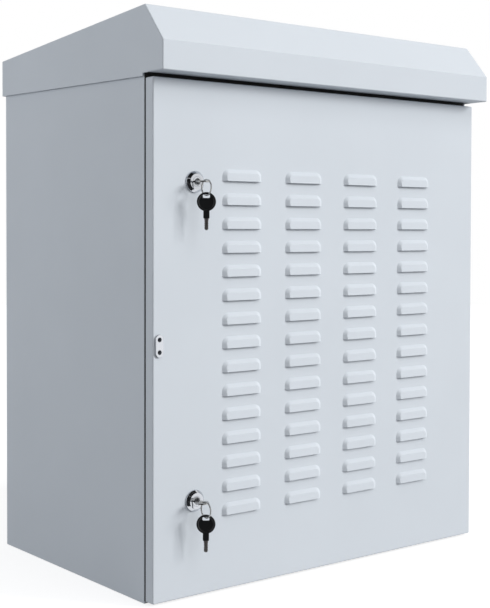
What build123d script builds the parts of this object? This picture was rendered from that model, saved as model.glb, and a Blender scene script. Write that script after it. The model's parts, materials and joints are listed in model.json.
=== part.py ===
"""Roadside utility cabinet in folded sheet steel, with a louvred door, a rain hood and two keyed cam locks.

Millimetres, +Z up. The origin is the middle of the body's base, on the surface that it stands on.
The door faces -Y and hangs on hinges at its +X edge.
"""

import math
import os

from build123d import *

os.makedirs("parts", exist_ok=True)

# Driving sizes of the cabinet, which is built around 19 inch equipment rails
rack_clear_width = 450.6
rail_face = 29.7
rail_stand_off = 43.5
body_depth = 380.0
body_height = 690.0
sheet = 1.5
bend_radius = 2.6
overrun = 5.0
running_clearance = 0.05
screw_clearance = 0.3

# Body panels
side_flange = 25.0
pan_flange = 18.0
wall_hole_radius = 6.5
wall_hole_inset_x = 70.0
wall_hole_inset_z = 80.0
anchor_hole_radius = 6.5
anchor_inset_x = 40.0
anchor_inset_y = 45.0
roof_slot_length = 70.0
roof_slot_width = 8.0
roof_slot_pitch_x = 92.0
roof_slot_pitch_y = 24.0
roof_slot_columns = 4
roof_slot_rows = 2

# Front frame, with a gutter lip around the door opening
frame_side = 28.0
frame_bottom = 30.0
frame_top = 42.0
gutter_depth = 8.7

# Buffer strip of foam rubber on the front frame, along the lock side, top and foot of the door
buffer_thickness = 1.8
buffer_width = 10.0
buffer_edge_gap = 0.5
buffer_hinge_gap = 25.0

# Rain hood
hood_side_gap = 2.0
hood_rear_gap = 2.5
hood_overhang = 27.0
hood_ridge_setback = 14.0
hood_ridge_rise = 77.0
hood_bevel_rise = 28.0
hood_eave_rise = 44.7
hood_lip_drop = 10.0
hood_skirt_drop = 14.0
hood_skirt_pitch = 6.0
hood_return = 20.0
hood_bracket_length = 300.0
hood_bracket_leg = 22.0
hood_bracket_foot = 36.0
hood_screw_inset = 12.0
hood_screw_spacing = 220.0
hood_screw_length = 12.0

# Hexagon screws of the body
screw_radius = 3.0
screw_head_across = 10.0
screw_head_height = 4.0

# Cable gland plate in the floor, with its cable seal
gland_plate_width = 330.0
gland_plate_depth = 120.0
gland_plate_thickness = 2.0
gland_plate_rear_inset = 45.0
gland_lap = 16.0
seal_window_width = 220.0
seal_window_depth = 46.0
seal_lip = 5.0
seal_lip_height = 3.0
seal_depth = 1.2

# Equipment rails to the 19 inch pattern
rack_unit = 44.45
rack_hole_step = 15.875
rack_holes_per_unit = 3
rack_hole_inset = 7.25
rack_hole_size = 9.5
rail_leg = 34.0
rail_sheet = 2.0
rail_end_margin = 65.0
rail_setback = 60.0
support_height = 40.0
support_length = 310.0
support_end_inset = 10.0
rail_screw_length = 9.0

# Earth stud on the left wall
earth_stud_radius = 4.0
earth_stud_length = 24.0
earth_stud_rear_inset = 80.0
earth_stud_height = 62.0
earth_nut_across = 13.0
earth_nut_height = 6.5

# Door
door_gap = 2.5
door_depth = 17.5
door_foot_gap = 3.0
door_top_drop = 15.5
door_return = 12.0

# Door louvres
louvre_columns = 4
louvre_rows = 15
louvre_length = 66.0
louvre_height = 15.5
louvre_depth = 4.5
louvre_fall = 1.5
louvre_corner = 10.0
louvre_taper = 54.0
louvre_pitch_z = 31.65
louvre_lock_margin = 109.6
louvre_hinge_margin = 98.6
louvre_top_inset = 129.0

# Door gasket, filter mat and filter frame
gasket_width = 12.0
gasket_gap = 0.3
filter_margin = 9.0
filter_thickness = 8.0
filter_lug = 14.0
filter_border = 16.0
filter_bar = 12.0
filter_window_columns = 2
filter_window_rows = 3
filter_stud_radius = 2.5
filter_stud_length = 8.0
filter_stud_rows = 3
filter_nut_across = 8.0
filter_nut_height = 4.0

# Hinges
hinge_inset_x = 6.0
hinge_inset_y = 8.5
hinge_end_inset = 118.0
hinge_height = 60.0
hinge_middle_height = 28.0
hinge_knuckle_radius = 4.8
hinge_knuckle_gap = 0.5
hinge_pin_radius = 2.5
hinge_pin_head_radius = 3.6
hinge_pin_head_height = 2.0
hinge_arm_inner = 4.5
hinge_arm_outer = 2.5
hinge_leaf = 3.0
hinge_leaf_inset = 3.0
hinge_frame_leaf_width = 20.0
hinge_door_leaf = 2.0
hinge_door_leaf_width = 15.0
hinge_notch_gap = 1.0
hinge_screw_spacing = 36.0
hinge_screw_inset = 6.0
hinge_screw_radius = 2.0
hinge_screw_length = 8.0
hinge_screw_head_across = 7.0
hinge_screw_head_height = 2.2

# Seal plate at the lock edge of the door
seal_plate_width = 11.5
seal_plate_height = 29.5
seal_plate_thickness = 2.5
seal_plate_inset = 8.7
seal_plate_rise = 330.0
seal_hole_radius = 3.0
seal_hole_spacing = 16.2

# Cam locks
lock_inset_x = 65.0
lock_top_inset = 131.5
lock_foot_inset = 125.0
escutcheon_radius = 14.25
escutcheon_face_radius = 10.9
escutcheon_rim = 2.0
escutcheon_height = 5.5
barrel_radius = 9.5
barrel_clearance = 0.2
lock_nut_across = 24.0
lock_nut_height = 5.0
plug_radius = 6.5
plug_end_gap = 0.5
plug_drive = 6.0
cam_width = 16.0
cam_reach = 47.0
cam_thickness = 3.0
cam_running_gap = 1.0
cam_screw_radius = 2.0
cam_screw_length = 8.0
cam_screw_head_radius = 5.5
cam_screw_head_height = 2.2

# Keys in the locks, all metal
key_thickness = 1.8
key_blade_width = 5.5
key_blade_length = 15.0
key_neck_length = 3.0
key_neck_width = 7.5
key_bow_radius = 9.0
key_hole_radius = 4.0
key_bridge = 2.0
keyway_clearance = 0.2

# Key rings, and the spare keys that hang on them
ring_wire = 1.5
ring_inner_radius = 9.4
ring_swing_clearance = 0.15
spare_turn = 38.0
spare_hang_clearance = 0.5
spare_head_radius = 12.3
spare_head_thickness = 3.2
spare_neck_width = 8.0
spare_neck_length = 9.2
spare_bridge = 3.0
spare_hole_width = 9.0
spare_hole_height = 4.6
spare_hole_corner = 1.6
spare_blade_width = 5.5
spare_blade_length = 15.0
spare_blade_thickness = 1.8
spare_blade_tip = 1.6
spare_tang_length = 6.0

# Places that several pieces share
cabinet_width = rack_clear_width + 2 * (rail_face + rail_stand_off + sheet)
half_width = cabinet_width / 2
inner_half_width = half_width - sheet
body_front = -body_depth / 2
body_rear = body_depth / 2
inner_front = body_front + sheet
inner_rear = body_rear - 2 * sheet
inner_depth = inner_rear - inner_front
roof_under = body_height - sheet
bend_middle = bend_radius - sheet / 2
sheet_middle = sheet / 2
body_middle_z = body_height / 2
screw_hole_radius = screw_radius + screw_clearance

opening_width = 2 * (half_width - frame_side)
opening_height = body_height - frame_top - frame_bottom
opening_middle_z = frame_bottom + opening_height / 2

door_rear = body_front - door_gap
door_front = door_rear - door_depth
skin_inner = door_front + sheet
door_bottom = door_foot_gap
door_top = body_height - door_top_drop
door_height = door_top - door_bottom
door_middle_z = (door_top + door_bottom) / 2

body_front_plane = Plane.XZ.offset(-body_front)
inner_front_plane = Plane.XZ.offset(-inner_front)
inner_rear_plane = Plane.XZ.offset(-inner_rear)
door_front_plane = Plane.XZ.offset(-door_front)
door_rear_plane = Plane.XZ.offset(-door_rear)
skin_inner_plane = Plane.XZ.offset(-skin_inner)

louvre_field_width = cabinet_width - louvre_lock_margin - louvre_hinge_margin
louvre_pitch_x = (louvre_field_width - louvre_length) / (louvre_columns - 1)
louvre_offset_x = (louvre_lock_margin - louvre_hinge_margin) / 2
louvre_field_height = (louvre_rows - 1) * louvre_pitch_z + louvre_height
louvre_row_middle_z = door_top - louvre_top_inset - (louvre_rows - 1) * louvre_pitch_z / 2
louvre_field_middle_z = louvre_row_middle_z + louvre_height / 2

lock_x = lock_inset_x - half_width
lock_face = door_front - escutcheon_height
cam_front = inner_front + cam_running_gap
cam_rear = cam_front + cam_thickness
barrel_rear = cam_front - plug_end_gap
lock_places = (("upper", door_top - lock_top_inset), ("lower", door_bottom + lock_foot_inset))

hinge_x = half_width - hinge_inset_x
hinge_y = door_rear - hinge_inset_y
hinge_places = (door_bottom + hinge_end_inset, door_top - hinge_end_inset)
hinge_arm_width = hinge_arm_inner + hinge_arm_outer
hinge_arm_x = hinge_x + (hinge_arm_outer - hinge_arm_inner) / 2
hinge_end_height = (hinge_height - hinge_middle_height) / 2 - hinge_knuckle_gap
frame_leaf_x = half_width - hinge_leaf_inset - hinge_frame_leaf_width / 2
hinge_screw_x = frame_leaf_x - hinge_frame_leaf_width / 2 + hinge_screw_inset

gland_middle_y = inner_rear - gland_plate_rear_inset - gland_plate_depth / 2
gland_screw_spacing_x = gland_plate_width - gland_lap
gland_screw_spacing_y = gland_plate_depth - gland_lap

hood_half_width = half_width + hood_side_gap + sheet
hood_front = door_front - hood_overhang
hood_rear = body_rear + hood_rear_gap + sheet
hood_bracket_end = hood_half_width - sheet - hood_bracket_foot
hood_screw_x = hood_bracket_end + hood_screw_inset

rack_units = int((roof_under - sheet - 2 * rail_end_margin) // rack_unit)
rail_height = rack_units * rack_unit
rail_bottom = body_middle_z - rail_height / 2
rail_front = body_front + rail_setback
rail_outer = rack_clear_width / 2 + rail_face
rack_hole_x = rack_clear_width / 2 + rack_hole_inset
support_places = (
    ("lower", rail_bottom + support_end_inset + support_height / 2),
    ("upper", rail_bottom + rail_height - support_end_inset - support_height / 2),
)
rail_screw_y = rail_front + rail_leg / 2

bow_end = lock_face - key_neck_length - 2 * key_bow_radius
ring_pivot_y = bow_end + key_bridge / 2
bridge_reach = math.hypot(key_bridge, key_thickness) / 2
ring_drop = ring_inner_radius - bridge_reach - ring_swing_clearance
ring_middle_radius = ring_inner_radius + ring_wire / 2
spare_pivot_drop = ring_drop + ring_middle_radius
spare_bow_top = ring_wire / 2 + spare_hang_clearance + spare_bridge
spare_bow_middle = spare_bow_top - spare_head_radius
spare_neck_end = spare_bow_middle - spare_head_radius - spare_neck_length


def hexagon_screw(across, head_height, radius, length):
    """A hexagon screw along Z, with its head on Z zero and its shank below."""
    with BuildPart() as screw:
        with BuildSketch():
            RegularPolygon(across / 2, 6, major_radius=False)
        extrude(amount=head_height)
        Cylinder(radius, length, align=(Align.CENTER, Align.CENTER, Align.MAX))
    return screw.part


def hexagon_nut(across, height, bore_radius):
    """A hexagon nut along Z, standing on Z zero."""
    with BuildPart() as nut:
        with BuildSketch():
            RegularPolygon(across / 2, 6, major_radius=False)
            Circle(bore_radius, mode=Mode.SUBTRACT)
        extrude(amount=height)
    return nut.part


body_screw = hexagon_screw(screw_head_across, screw_head_height, screw_radius, hood_screw_length)

# Side panels: a flat wall folded inwards at its rear corner
for side_name, side in (("left", -1), ("right", 1)):
    with BuildPart() as side_panel:
        with BuildSketch():
            with BuildLine():
                FilletPolyline(
                    (side * (half_width - sheet_middle), body_front),
                    (side * (half_width - sheet_middle), body_rear - sheet_middle),
                    (side * (half_width - side_flange), body_rear - sheet_middle),
                    radius=bend_middle,
                )
            trace(line_width=sheet)
        extrude(amount=body_height)
    side_panel.part.label = f"{side_name}_side_panel"
    export_step(side_panel.part, f"parts/{side_name}_side_panel.step")

# Rear panel: lies against the side panels' flanges, with four wall fixing holes
with BuildPart() as rear_panel:
    with BuildSketch(inner_rear_plane):
        with Locations((0, body_middle_z)):
            Rectangle(2 * (half_width - bend_radius), body_height)
            with GridLocations(cabinet_width - 2 * wall_hole_inset_x, body_height - 2 * wall_hole_inset_z, 2, 2):
                Circle(wall_hole_radius, mode=Mode.SUBTRACT)
    extrude(amount=-sheet)
rear_panel.part.label = "rear_panel"
export_step(rear_panel.part, "parts/rear_panel.step")

# Floor pan: sides folded up, with anchor holes and the cut-out under the gland plate
with BuildPart() as floor_panel:
    with BuildSketch(inner_front_plane):
        with BuildLine():
            FilletPolyline(
                (sheet_middle - inner_half_width, pan_flange),
                (sheet_middle - inner_half_width, sheet_middle),
                (inner_half_width - sheet_middle, sheet_middle),
                (inner_half_width - sheet_middle, pan_flange),
                radius=bend_middle,
            )
        trace(line_width=sheet)
    extrude(amount=-inner_depth)
    with BuildSketch():
        with GridLocations(cabinet_width - 2 * anchor_inset_x, body_depth - 2 * anchor_inset_y, 2, 2):
            Circle(anchor_hole_radius)
        with Locations((0, gland_middle_y)):
            Rectangle(gland_plate_width - 2 * gland_lap, gland_plate_depth - 2 * gland_lap)
            with GridLocations(gland_screw_spacing_x, gland_screw_spacing_y, 2, 2):
                Circle(screw_hole_radius)
    extrude(amount=sheet, mode=Mode.SUBTRACT)
floor_panel.part.label = "floor_panel"
export_step(floor_panel.part, "parts/floor_panel.step")

# Roof pan: sides folded down, with slots that let warm air out under the hood
with BuildPart() as roof_panel:
    with BuildSketch(inner_front_plane):
        with BuildLine():
            FilletPolyline(
                (sheet_middle - inner_half_width, body_height - pan_flange),
                (sheet_middle - inner_half_width, body_height - sheet_middle),
                (inner_half_width - sheet_middle, body_height - sheet_middle),
                (inner_half_width - sheet_middle, body_height - pan_flange),
                radius=bend_middle,
            )
        trace(line_width=sheet)
    extrude(amount=-inner_depth)
    with BuildSketch(Plane.XY.offset(roof_under)):
        with GridLocations(roof_slot_pitch_x, roof_slot_pitch_y, roof_slot_columns, roof_slot_rows):
            Rectangle(roof_slot_length, roof_slot_width)
        with GridLocations(2 * hood_screw_x, hood_screw_spacing, 2, 2):
            Circle(screw_hole_radius)
    extrude(amount=sheet, mode=Mode.SUBTRACT)
roof_panel.part.label = "roof_panel"
export_step(roof_panel.part, "parts/roof_panel.step")

# Front frame: a plate around the door opening, with a lip that stands forward as a rain gutter
with BuildPart() as front_frame:
    with BuildSketch(body_front_plane):
        with Locations((0, body_middle_z)):
            Rectangle(2 * inner_half_width, body_height)
        with Locations((0, opening_middle_z)):
            Rectangle(opening_width, opening_height, mode=Mode.SUBTRACT)
    extrude(amount=-sheet)
    with BuildSketch(body_front_plane):
        with Locations((0, opening_middle_z)):
            Rectangle(opening_width + 2 * sheet, opening_height + 2 * sheet)
            Rectangle(opening_width, opening_height, mode=Mode.SUBTRACT)
    extrude(amount=gutter_depth)
    with BuildSketch(body_front_plane):
        for hinge_z in hinge_places:
            with Locations((hinge_screw_x, hinge_z)):
                with GridLocations(0, hinge_screw_spacing, 1, 2):
                    Circle(hinge_screw_radius + screw_clearance)
    extrude(amount=-sheet, mode=Mode.SUBTRACT)
front_frame.part.label = "front_frame"
export_step(front_frame.part, "parts/front_frame.step")

# Buffer strip: lies on the front frame, just clear of the closed door, and stops short of the hinges
buffer_left = buffer_edge_gap - half_width
buffer_right = half_width - buffer_hinge_gap
buffer_foot = door_bottom + buffer_edge_gap
buffer_top = body_height - buffer_edge_gap
with BuildPart() as door_buffer:
    with BuildSketch(body_front_plane):
        with Locations((buffer_left, buffer_foot)):
            Rectangle(
                buffer_right - buffer_left,
                buffer_top - buffer_foot,
                align=(Align.MIN, Align.MIN),
            )
        with Locations((buffer_left + buffer_width, buffer_foot + buffer_width)):
            Rectangle(
                buffer_right - buffer_left - buffer_width,
                door_top - buffer_foot - 2 * buffer_width,
                align=(Align.MIN, Align.MIN),
                mode=Mode.SUBTRACT,
            )
    extrude(amount=buffer_thickness)
door_buffer.part.label = "door_buffer"
export_step(door_buffer.part, "parts/door_buffer.step")

# Rain hood: pitched top, front bevel, lip with an inward return, rear wall and side skirts
with BuildPart() as rain_hood:
    with BuildSketch(Plane.YZ) as hood_section:
        with BuildLine():
            Polyline(
                (hood_rear, body_height - hood_skirt_drop + hood_skirt_pitch),
                (hood_rear, body_height + hood_eave_rise),
                (door_front + hood_ridge_setback, body_height + hood_ridge_rise),
                (hood_front, body_height + hood_bevel_rise),
                (hood_front, body_height - hood_lip_drop),
                (body_front - door_gap / 2, body_height - hood_lip_drop),
                (body_front - door_gap / 2, body_height - hood_skirt_drop),
                close=True,
            )
        make_face()
        fillet(hood_section.vertices().filter_by(lambda corner: corner.Y > body_height), bend_radius)
    extrude(amount=hood_half_width, both=True)
    with BuildSketch(Plane.YZ) as hood_hollow:
        with BuildLine():
            Polyline(
                (hood_rear, body_height - hood_skirt_drop - overrun),
                (hood_rear, body_height + hood_eave_rise),
                (door_front + hood_ridge_setback, body_height + hood_ridge_rise),
                (hood_front, body_height + hood_bevel_rise),
                (hood_front, body_height - hood_skirt_drop - overrun),
                close=True,
            )
        make_face()
        fillet(hood_hollow.vertices().filter_by(lambda corner: corner.Y > body_height), bend_radius)
        offset(amount=-sheet, kind=Kind.INTERSECTION, mode=Mode.REPLACE)
    extrude(amount=hood_half_width - sheet, both=True, mode=Mode.SUBTRACT)
    with BuildSketch(Plane.XY.offset(body_height - hood_lip_drop)):
        with Locations((0, hood_front + hood_return / 2)):
            Rectangle(2 * hood_half_width, hood_return)
    extrude(amount=sheet)
rain_hood.part.label = "rain_hood"
export_step(rain_hood.part, "parts/rain_hood.step")

# Hood brackets: angles inside the skirts that stand on the roof pan
for side_name, side in (("left", -1), ("right", 1)):
    with BuildPart() as hood_bracket:
        with BuildSketch(Plane.XZ):
            with BuildLine():
                FilletPolyline(
                    (side * hood_bracket_end, body_height + sheet_middle),
                    (side * (hood_half_width - sheet - sheet_middle), body_height + sheet_middle),
                    (side * (hood_half_width - sheet - sheet_middle), body_height + hood_bracket_leg),
                    radius=bend_middle,
                )
            trace(line_width=sheet)
        extrude(amount=hood_bracket_length / 2, both=True)
        with BuildSketch(Plane.XY.offset(body_height)):
            with Locations((side * hood_screw_x, 0)):
                with GridLocations(0, hood_screw_spacing, 1, 2):
                    Circle(screw_hole_radius)
        extrude(amount=sheet, mode=Mode.SUBTRACT)
    hood_bracket.part.label = f"hood_bracket_{side_name}"
    export_step(hood_bracket.part, f"parts/hood_bracket_{side_name}.step")

# Hood screws: driven upwards from inside the cabinet
with BuildPart(Plane.XY.offset(roof_under).rotated((180, 0, 0))) as hood_screws:
    with GridLocations(2 * hood_screw_x, hood_screw_spacing, 2, 2):
        add(body_screw)
hood_screws.part.label = "hood_screws"
export_step(hood_screws.part, "parts/hood_screws.step")

# Gland plate: covers the floor cut-out from inside
with BuildPart() as gland_plate:
    with BuildSketch(Plane.XY.offset(sheet)):
        with Locations((0, gland_middle_y)):
            Rectangle(gland_plate_width, gland_plate_depth)
            Rectangle(seal_window_width, seal_window_depth, mode=Mode.SUBTRACT)
            with GridLocations(gland_screw_spacing_x, gland_screw_spacing_y, 2, 2):
                Circle(screw_hole_radius, mode=Mode.SUBTRACT)
    extrude(amount=gland_plate_thickness)
gland_plate.part.label = "gland_plate"
export_step(gland_plate.part, "parts/gland_plate.step")

# Gland plate screws
gland_screw = hexagon_screw(screw_head_across, screw_head_height, screw_radius, gland_plate_thickness + sheet)
with BuildPart(Plane.XY.offset(sheet + gland_plate_thickness)) as gland_plate_screws:
    with Locations((0, gland_middle_y)):
        with GridLocations(gland_screw_spacing_x, gland_screw_spacing_y, 2, 2):
            add(gland_screw)
gland_plate_screws.part.label = "gland_plate_screws"
export_step(gland_plate_screws.part, "parts/gland_plate_screws.step")

# Cable seal: a rubber strip in the gland plate's window, with a lip that lies on the plate
with BuildPart() as cable_seal:
    with BuildSketch(Plane.XY.offset(sheet - seal_depth)):
        with Locations((0, gland_middle_y)):
            Rectangle(seal_window_width, seal_window_depth)
    extrude(amount=seal_depth + gland_plate_thickness + seal_lip_height)
    with BuildSketch(Plane.XY.offset(sheet + gland_plate_thickness)):
        with Locations((0, gland_middle_y)):
            Rectangle(seal_window_width + 2 * seal_lip, seal_window_depth + 2 * seal_lip)
    extrude(amount=seal_lip_height)
    chamfer(cable_seal.faces().sort_by(Axis.Z)[-1].edges(), seal_lip_height / 2)
cable_seal.part.label = "cable_seal"
export_step(cable_seal.part, "parts/cable_seal.step")

# Equipment rails: an angle with square holes at the rack spacing, and a leg that is screwed to the supports
for side_name, side in (("left", -1), ("right", 1)):
    with BuildPart() as rack_rail:
        with BuildSketch(Plane.XY.offset(rail_bottom)):
            with BuildLine():
                FilletPolyline(
                    (side * (rail_outer - rail_face), rail_front + rail_sheet / 2),
                    (side * (rail_outer - rail_sheet / 2), rail_front + rail_sheet / 2),
                    (side * (rail_outer - rail_sheet / 2), rail_front + rail_leg),
                    radius=bend_middle,
                )
            trace(line_width=rail_sheet)
        extrude(amount=rail_height)
        with BuildSketch(Plane.XZ.offset(-rail_front)):
            with Locations((side * rack_hole_x, body_middle_z)):
                with GridLocations(0, rack_unit, 1, rack_units):
                    with GridLocations(0, rack_hole_step, 1, rack_holes_per_unit):
                        Rectangle(rack_hole_size, rack_hole_size)
        extrude(amount=-rail_sheet, mode=Mode.SUBTRACT)
        with BuildSketch(Plane.YZ.offset(side * rail_outer)):
            for support_name, support_z in support_places:
                with Locations((rail_screw_y, support_z)):
                    Circle(screw_hole_radius)
        extrude(amount=-side * rail_sheet, mode=Mode.SUBTRACT)
    rack_rail.part.label = f"rack_rail_{side_name}"
    export_step(rack_rail.part, f"parts/rack_rail_{side_name}.step")

# Rail supports: channels on the side walls that carry the rails
for side_name, side in (("left", -1), ("right", 1)):
    for support_name, support_z in support_places:
        with BuildPart() as rail_support:
            with BuildSketch(Plane.XZ.offset(-rail_front)):
                with BuildLine():
                    FilletPolyline(
                        (side * inner_half_width, support_z + (support_height - rail_sheet) / 2),
                        (side * (rail_outer + rail_sheet / 2), support_z + (support_height - rail_sheet) / 2),
                        (side * (rail_outer + rail_sheet / 2), support_z - (support_height - rail_sheet) / 2),
                        (side * inner_half_width, support_z - (support_height - rail_sheet) / 2),
                        radius=bend_middle,
                    )
                trace(line_width=rail_sheet)
            extrude(amount=-support_length)
            with BuildSketch(Plane.YZ.offset(side * rail_outer)):
                with Locations((rail_screw_y, support_z)):
                    Circle(screw_hole_radius)
            extrude(amount=side * rail_sheet, mode=Mode.SUBTRACT)
        rail_support.part.label = f"rail_support_{support_name}_{side_name}"
        export_step(rail_support.part, f"parts/rail_support_{support_name}_{side_name}.step")

# Rail screws: through each rail's leg into its supports
rail_screw = hexagon_screw(screw_head_across, screw_head_height, screw_radius, rail_screw_length)
with BuildPart() as rail_screws:
    for side in (-1, 1):
        for support_name, support_z in support_places:
            head_seat = (side * (rail_outer - rail_sheet), rail_screw_y, support_z)
            with Locations(Plane(head_seat, x_dir=(0, 1, 0), z_dir=(-side, 0, 0))):
                add(rail_screw)
rail_screws.part.label = "rail_screws"
export_step(rail_screws.part, "parts/rail_screws.step")

# Earth stud and its nut, on the left wall
earth_seat = (-inner_half_width, body_rear - earth_stud_rear_inset, earth_stud_height)
earth_plane = Plane(earth_seat, x_dir=(0, 1, 0), z_dir=(1, 0, 0))
with BuildPart(earth_plane) as earth_stud:
    Cylinder(earth_stud_radius, earth_stud_length, align=(Align.CENTER, Align.CENTER, Align.MIN))
earth_stud.part.label = "earth_stud"
export_step(earth_stud.part, "parts/earth_stud.step")

earth_hexagon = hexagon_nut(earth_nut_across, earth_nut_height, earth_stud_radius)
with BuildPart(earth_plane.offset(earth_stud_length / 2)) as earth_nut:
    add(earth_hexagon)
earth_nut.part.label = "earth_nut"
export_step(earth_nut.part, "parts/earth_nut.step")

# Hinge frame leaves: each a plate on the front frame with an upper and a lower knuckle
with BuildPart() as hinge_frame_leaves:
    for hinge_z in hinge_places:
        hinge_foot = hinge_z - hinge_height / 2
        with BuildSketch(Plane.XY.offset(hinge_foot)):
            with Locations((frame_leaf_x, body_front - hinge_leaf / 2)):
                Rectangle(hinge_frame_leaf_width, hinge_leaf)
        extrude(amount=hinge_height)
        for knuckle_foot in (hinge_foot, hinge_foot + hinge_height - hinge_end_height):
            with BuildSketch(Plane.XY.offset(knuckle_foot)):
                with Locations((hinge_arm_x, (hinge_y + body_front) / 2)):
                    Rectangle(hinge_arm_width, body_front - hinge_y)
                with Locations((hinge_x, hinge_y)):
                    Circle(hinge_knuckle_radius)
                    Circle(hinge_pin_radius, mode=Mode.SUBTRACT)
            extrude(amount=hinge_end_height)
        with BuildSketch(body_front_plane):
            with Locations((hinge_screw_x, hinge_z)):
                with GridLocations(0, hinge_screw_spacing, 1, 2):
                    Circle(hinge_screw_radius + screw_clearance)
        extrude(amount=hinge_leaf, mode=Mode.SUBTRACT)
hinge_frame_leaves.part.label = "hinge_frame_leaves"
export_step(hinge_frame_leaves.part, "parts/hinge_frame_leaves.step")

# Hinge screws
hinge_screw = hexagon_screw(
    hinge_screw_head_across, hinge_screw_head_height, hinge_screw_radius, hinge_screw_length
)
with BuildPart(Plane.XZ.offset(hinge_leaf - body_front)) as hinge_screws:
    for hinge_z in hinge_places:
        with Locations((hinge_screw_x, hinge_z)):
            with GridLocations(0, hinge_screw_spacing, 1, 2):
                add(hinge_screw)
hinge_screws.part.label = "hinge_screws"
export_step(hinge_screws.part, "parts/hinge_screws.step")

# Hinge pins: held by the frame leaves, with a head on top
with BuildPart() as hinge_pins:
    for hinge_z in hinge_places:
        with Locations((hinge_x, hinge_y, hinge_z + hinge_height / 2)):
            Cylinder(hinge_pin_radius, hinge_height, align=(Align.CENTER, Align.CENTER, Align.MAX))
            Cylinder(
                hinge_pin_head_radius,
                hinge_pin_head_height,
                align=(Align.CENTER, Align.CENTER, Align.MIN),
            )
hinge_pins.part.label = "hinge_pins"
export_step(hinge_pins.part, "parts/hinge_pins.step")

# Hinge door leaves: each a plate inside the door with the middle knuckle
with BuildPart() as hinge_door_leaves:
    for hinge_z in hinge_places:
        with BuildSketch(Plane.XY.offset(hinge_z - hinge_middle_height / 2)):
            with Locations((inner_half_width - hinge_notch_gap, skin_inner)):
                Rectangle(hinge_door_leaf_width, hinge_door_leaf, align=(Align.MAX, Align.MIN))
            with Locations((hinge_arm_x, (hinge_y + skin_inner) / 2)):
                Rectangle(hinge_arm_width, hinge_y - skin_inner)
            with Locations((hinge_x, hinge_y)):
                Circle(hinge_knuckle_radius)
                Circle(hinge_pin_radius + running_clearance, mode=Mode.SUBTRACT)
        extrude(amount=hinge_middle_height)
hinge_door_leaves.part.label = "hinge_door_leaves"
export_step(hinge_door_leaves.part, "parts/hinge_door_leaves.step")

# The hollow behind a louvre, as a flat shape: its corners are cut off inside the rounded outer ones
louvre_wall = sheet / math.cos(math.radians(louvre_taper))
corner_diagonal_share = math.sqrt(2)
corner_gap = louvre_corner * corner_diagonal_share - louvre_corner
louvre_corner_cut = (corner_gap + louvre_wall) * corner_diagonal_share - 2 * louvre_wall
with BuildSketch() as louvre_hollow:
    Rectangle(louvre_length - 2 * louvre_wall, 2 * (louvre_height - louvre_wall))
    chamfer(louvre_hollow.vertices(), louvre_corner_cut)

# The hollow as a solid: its front leans back towards the top, in step with the louvre's own
louvre_front_facing = (0, louvre_fall, louvre_height)
with BuildPart() as louvre_core:
    extrude(louvre_hollow.sketch, amount=louvre_depth - sheet, taper=louvre_taper)
    split(
        bisect_by=Plane((0, 0, louvre_depth - sheet), z_dir=louvre_front_facing),
        keep=Keep.BOTTOM,
    )

# One pressed louvre: a bulge with drafted top and ends and a leaning front, open along its lower edge
with BuildPart() as louvre:
    with BuildSketch():
        RectangleRounded(louvre_length, 2 * louvre_height, louvre_corner)
    extrude(amount=louvre_depth, taper=louvre_taper)
    split(bisect_by=Plane((0, 0, louvre_depth), z_dir=louvre_front_facing), keep=Keep.BOTTOM)
    add(louvre_core.part, mode=Mode.SUBTRACT)
    split(bisect_by=Plane.XZ, keep=Keep.BOTTOM)

# The slot that a louvre leaves in the flat sheet: the upper half of its hollow
with BuildSketch() as louvre_slot:
    add(louvre_hollow.sketch)
    split(bisect_by=Plane.XZ, keep=Keep.BOTTOM)

# Door skin: a pan with folded edges and returns, louvred, notched at the hinges and bored for the locks
with BuildPart() as door_skin:
    with BuildSketch(door_rear_plane):
        with Locations((0, door_middle_z)):
            Rectangle(cabinet_width, door_height)
    extrude(amount=door_depth)
    fillet(door_skin.faces().sort_by(Axis.Y)[0].edges(), bend_radius)
    offset(amount=-sheet, openings=door_skin.faces().sort_by(Axis.Y)[-1])
    with BuildSketch(door_rear_plane):
        with Locations((0, door_middle_z)):
            Rectangle(cabinet_width - 2 * sheet, door_height - 2 * sheet)
            Rectangle(
                cabinet_width - 2 * (sheet + door_return),
                door_height - 2 * (sheet + door_return),
                mode=Mode.SUBTRACT,
            )
    extrude(amount=sheet)
    with BuildSketch(skin_inner_plane):
        for hinge_z in hinge_places:
            with Locations((half_width, hinge_z)):
                Rectangle(
                    2 * (sheet + door_return),
                    hinge_height + 2 * hinge_notch_gap,
                )
    extrude(amount=-(door_depth - sheet), mode=Mode.SUBTRACT)
    with BuildSketch(door_front_plane):
        for lock_name, lock_z in lock_places:
            with Locations((lock_x, lock_z)):
                Circle(barrel_radius + barrel_clearance)
        with Locations((seal_plate_inset - half_width, door_bottom + seal_plate_rise)):
            with GridLocations(0, seal_hole_spacing, 1, 2):
                Circle(seal_hole_radius)
        with Locations((louvre_offset_x, louvre_row_middle_z)):
            with GridLocations(louvre_pitch_x, louvre_pitch_z, louvre_columns, louvre_rows):
                add(louvre_slot.sketch)
    extrude(amount=-sheet, mode=Mode.SUBTRACT)
    with Locations(door_front_plane):
        with Locations((louvre_offset_x, louvre_row_middle_z)):
            with GridLocations(louvre_pitch_x, louvre_pitch_z, louvre_columns, louvre_rows):
                add(louvre.part)
door_skin.part.label = "door_skin"
export_step(door_skin.part, "parts/door_skin.step")

# Door gasket: a ring inside the door that closes against the gutter lip
with BuildPart() as door_gasket:
    with BuildSketch(skin_inner_plane):
        with Locations((0, opening_middle_z)):
            Rectangle(opening_width + sheet + gasket_width, opening_height + sheet + gasket_width)
            Rectangle(
                opening_width + sheet - gasket_width,
                opening_height + sheet - gasket_width,
                mode=Mode.SUBTRACT,
            )
    extrude(amount=-(body_front - gutter_depth - gasket_gap - skin_inner))
door_gasket.part.label = "door_gasket"
export_step(door_gasket.part, "parts/door_gasket.step")

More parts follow.
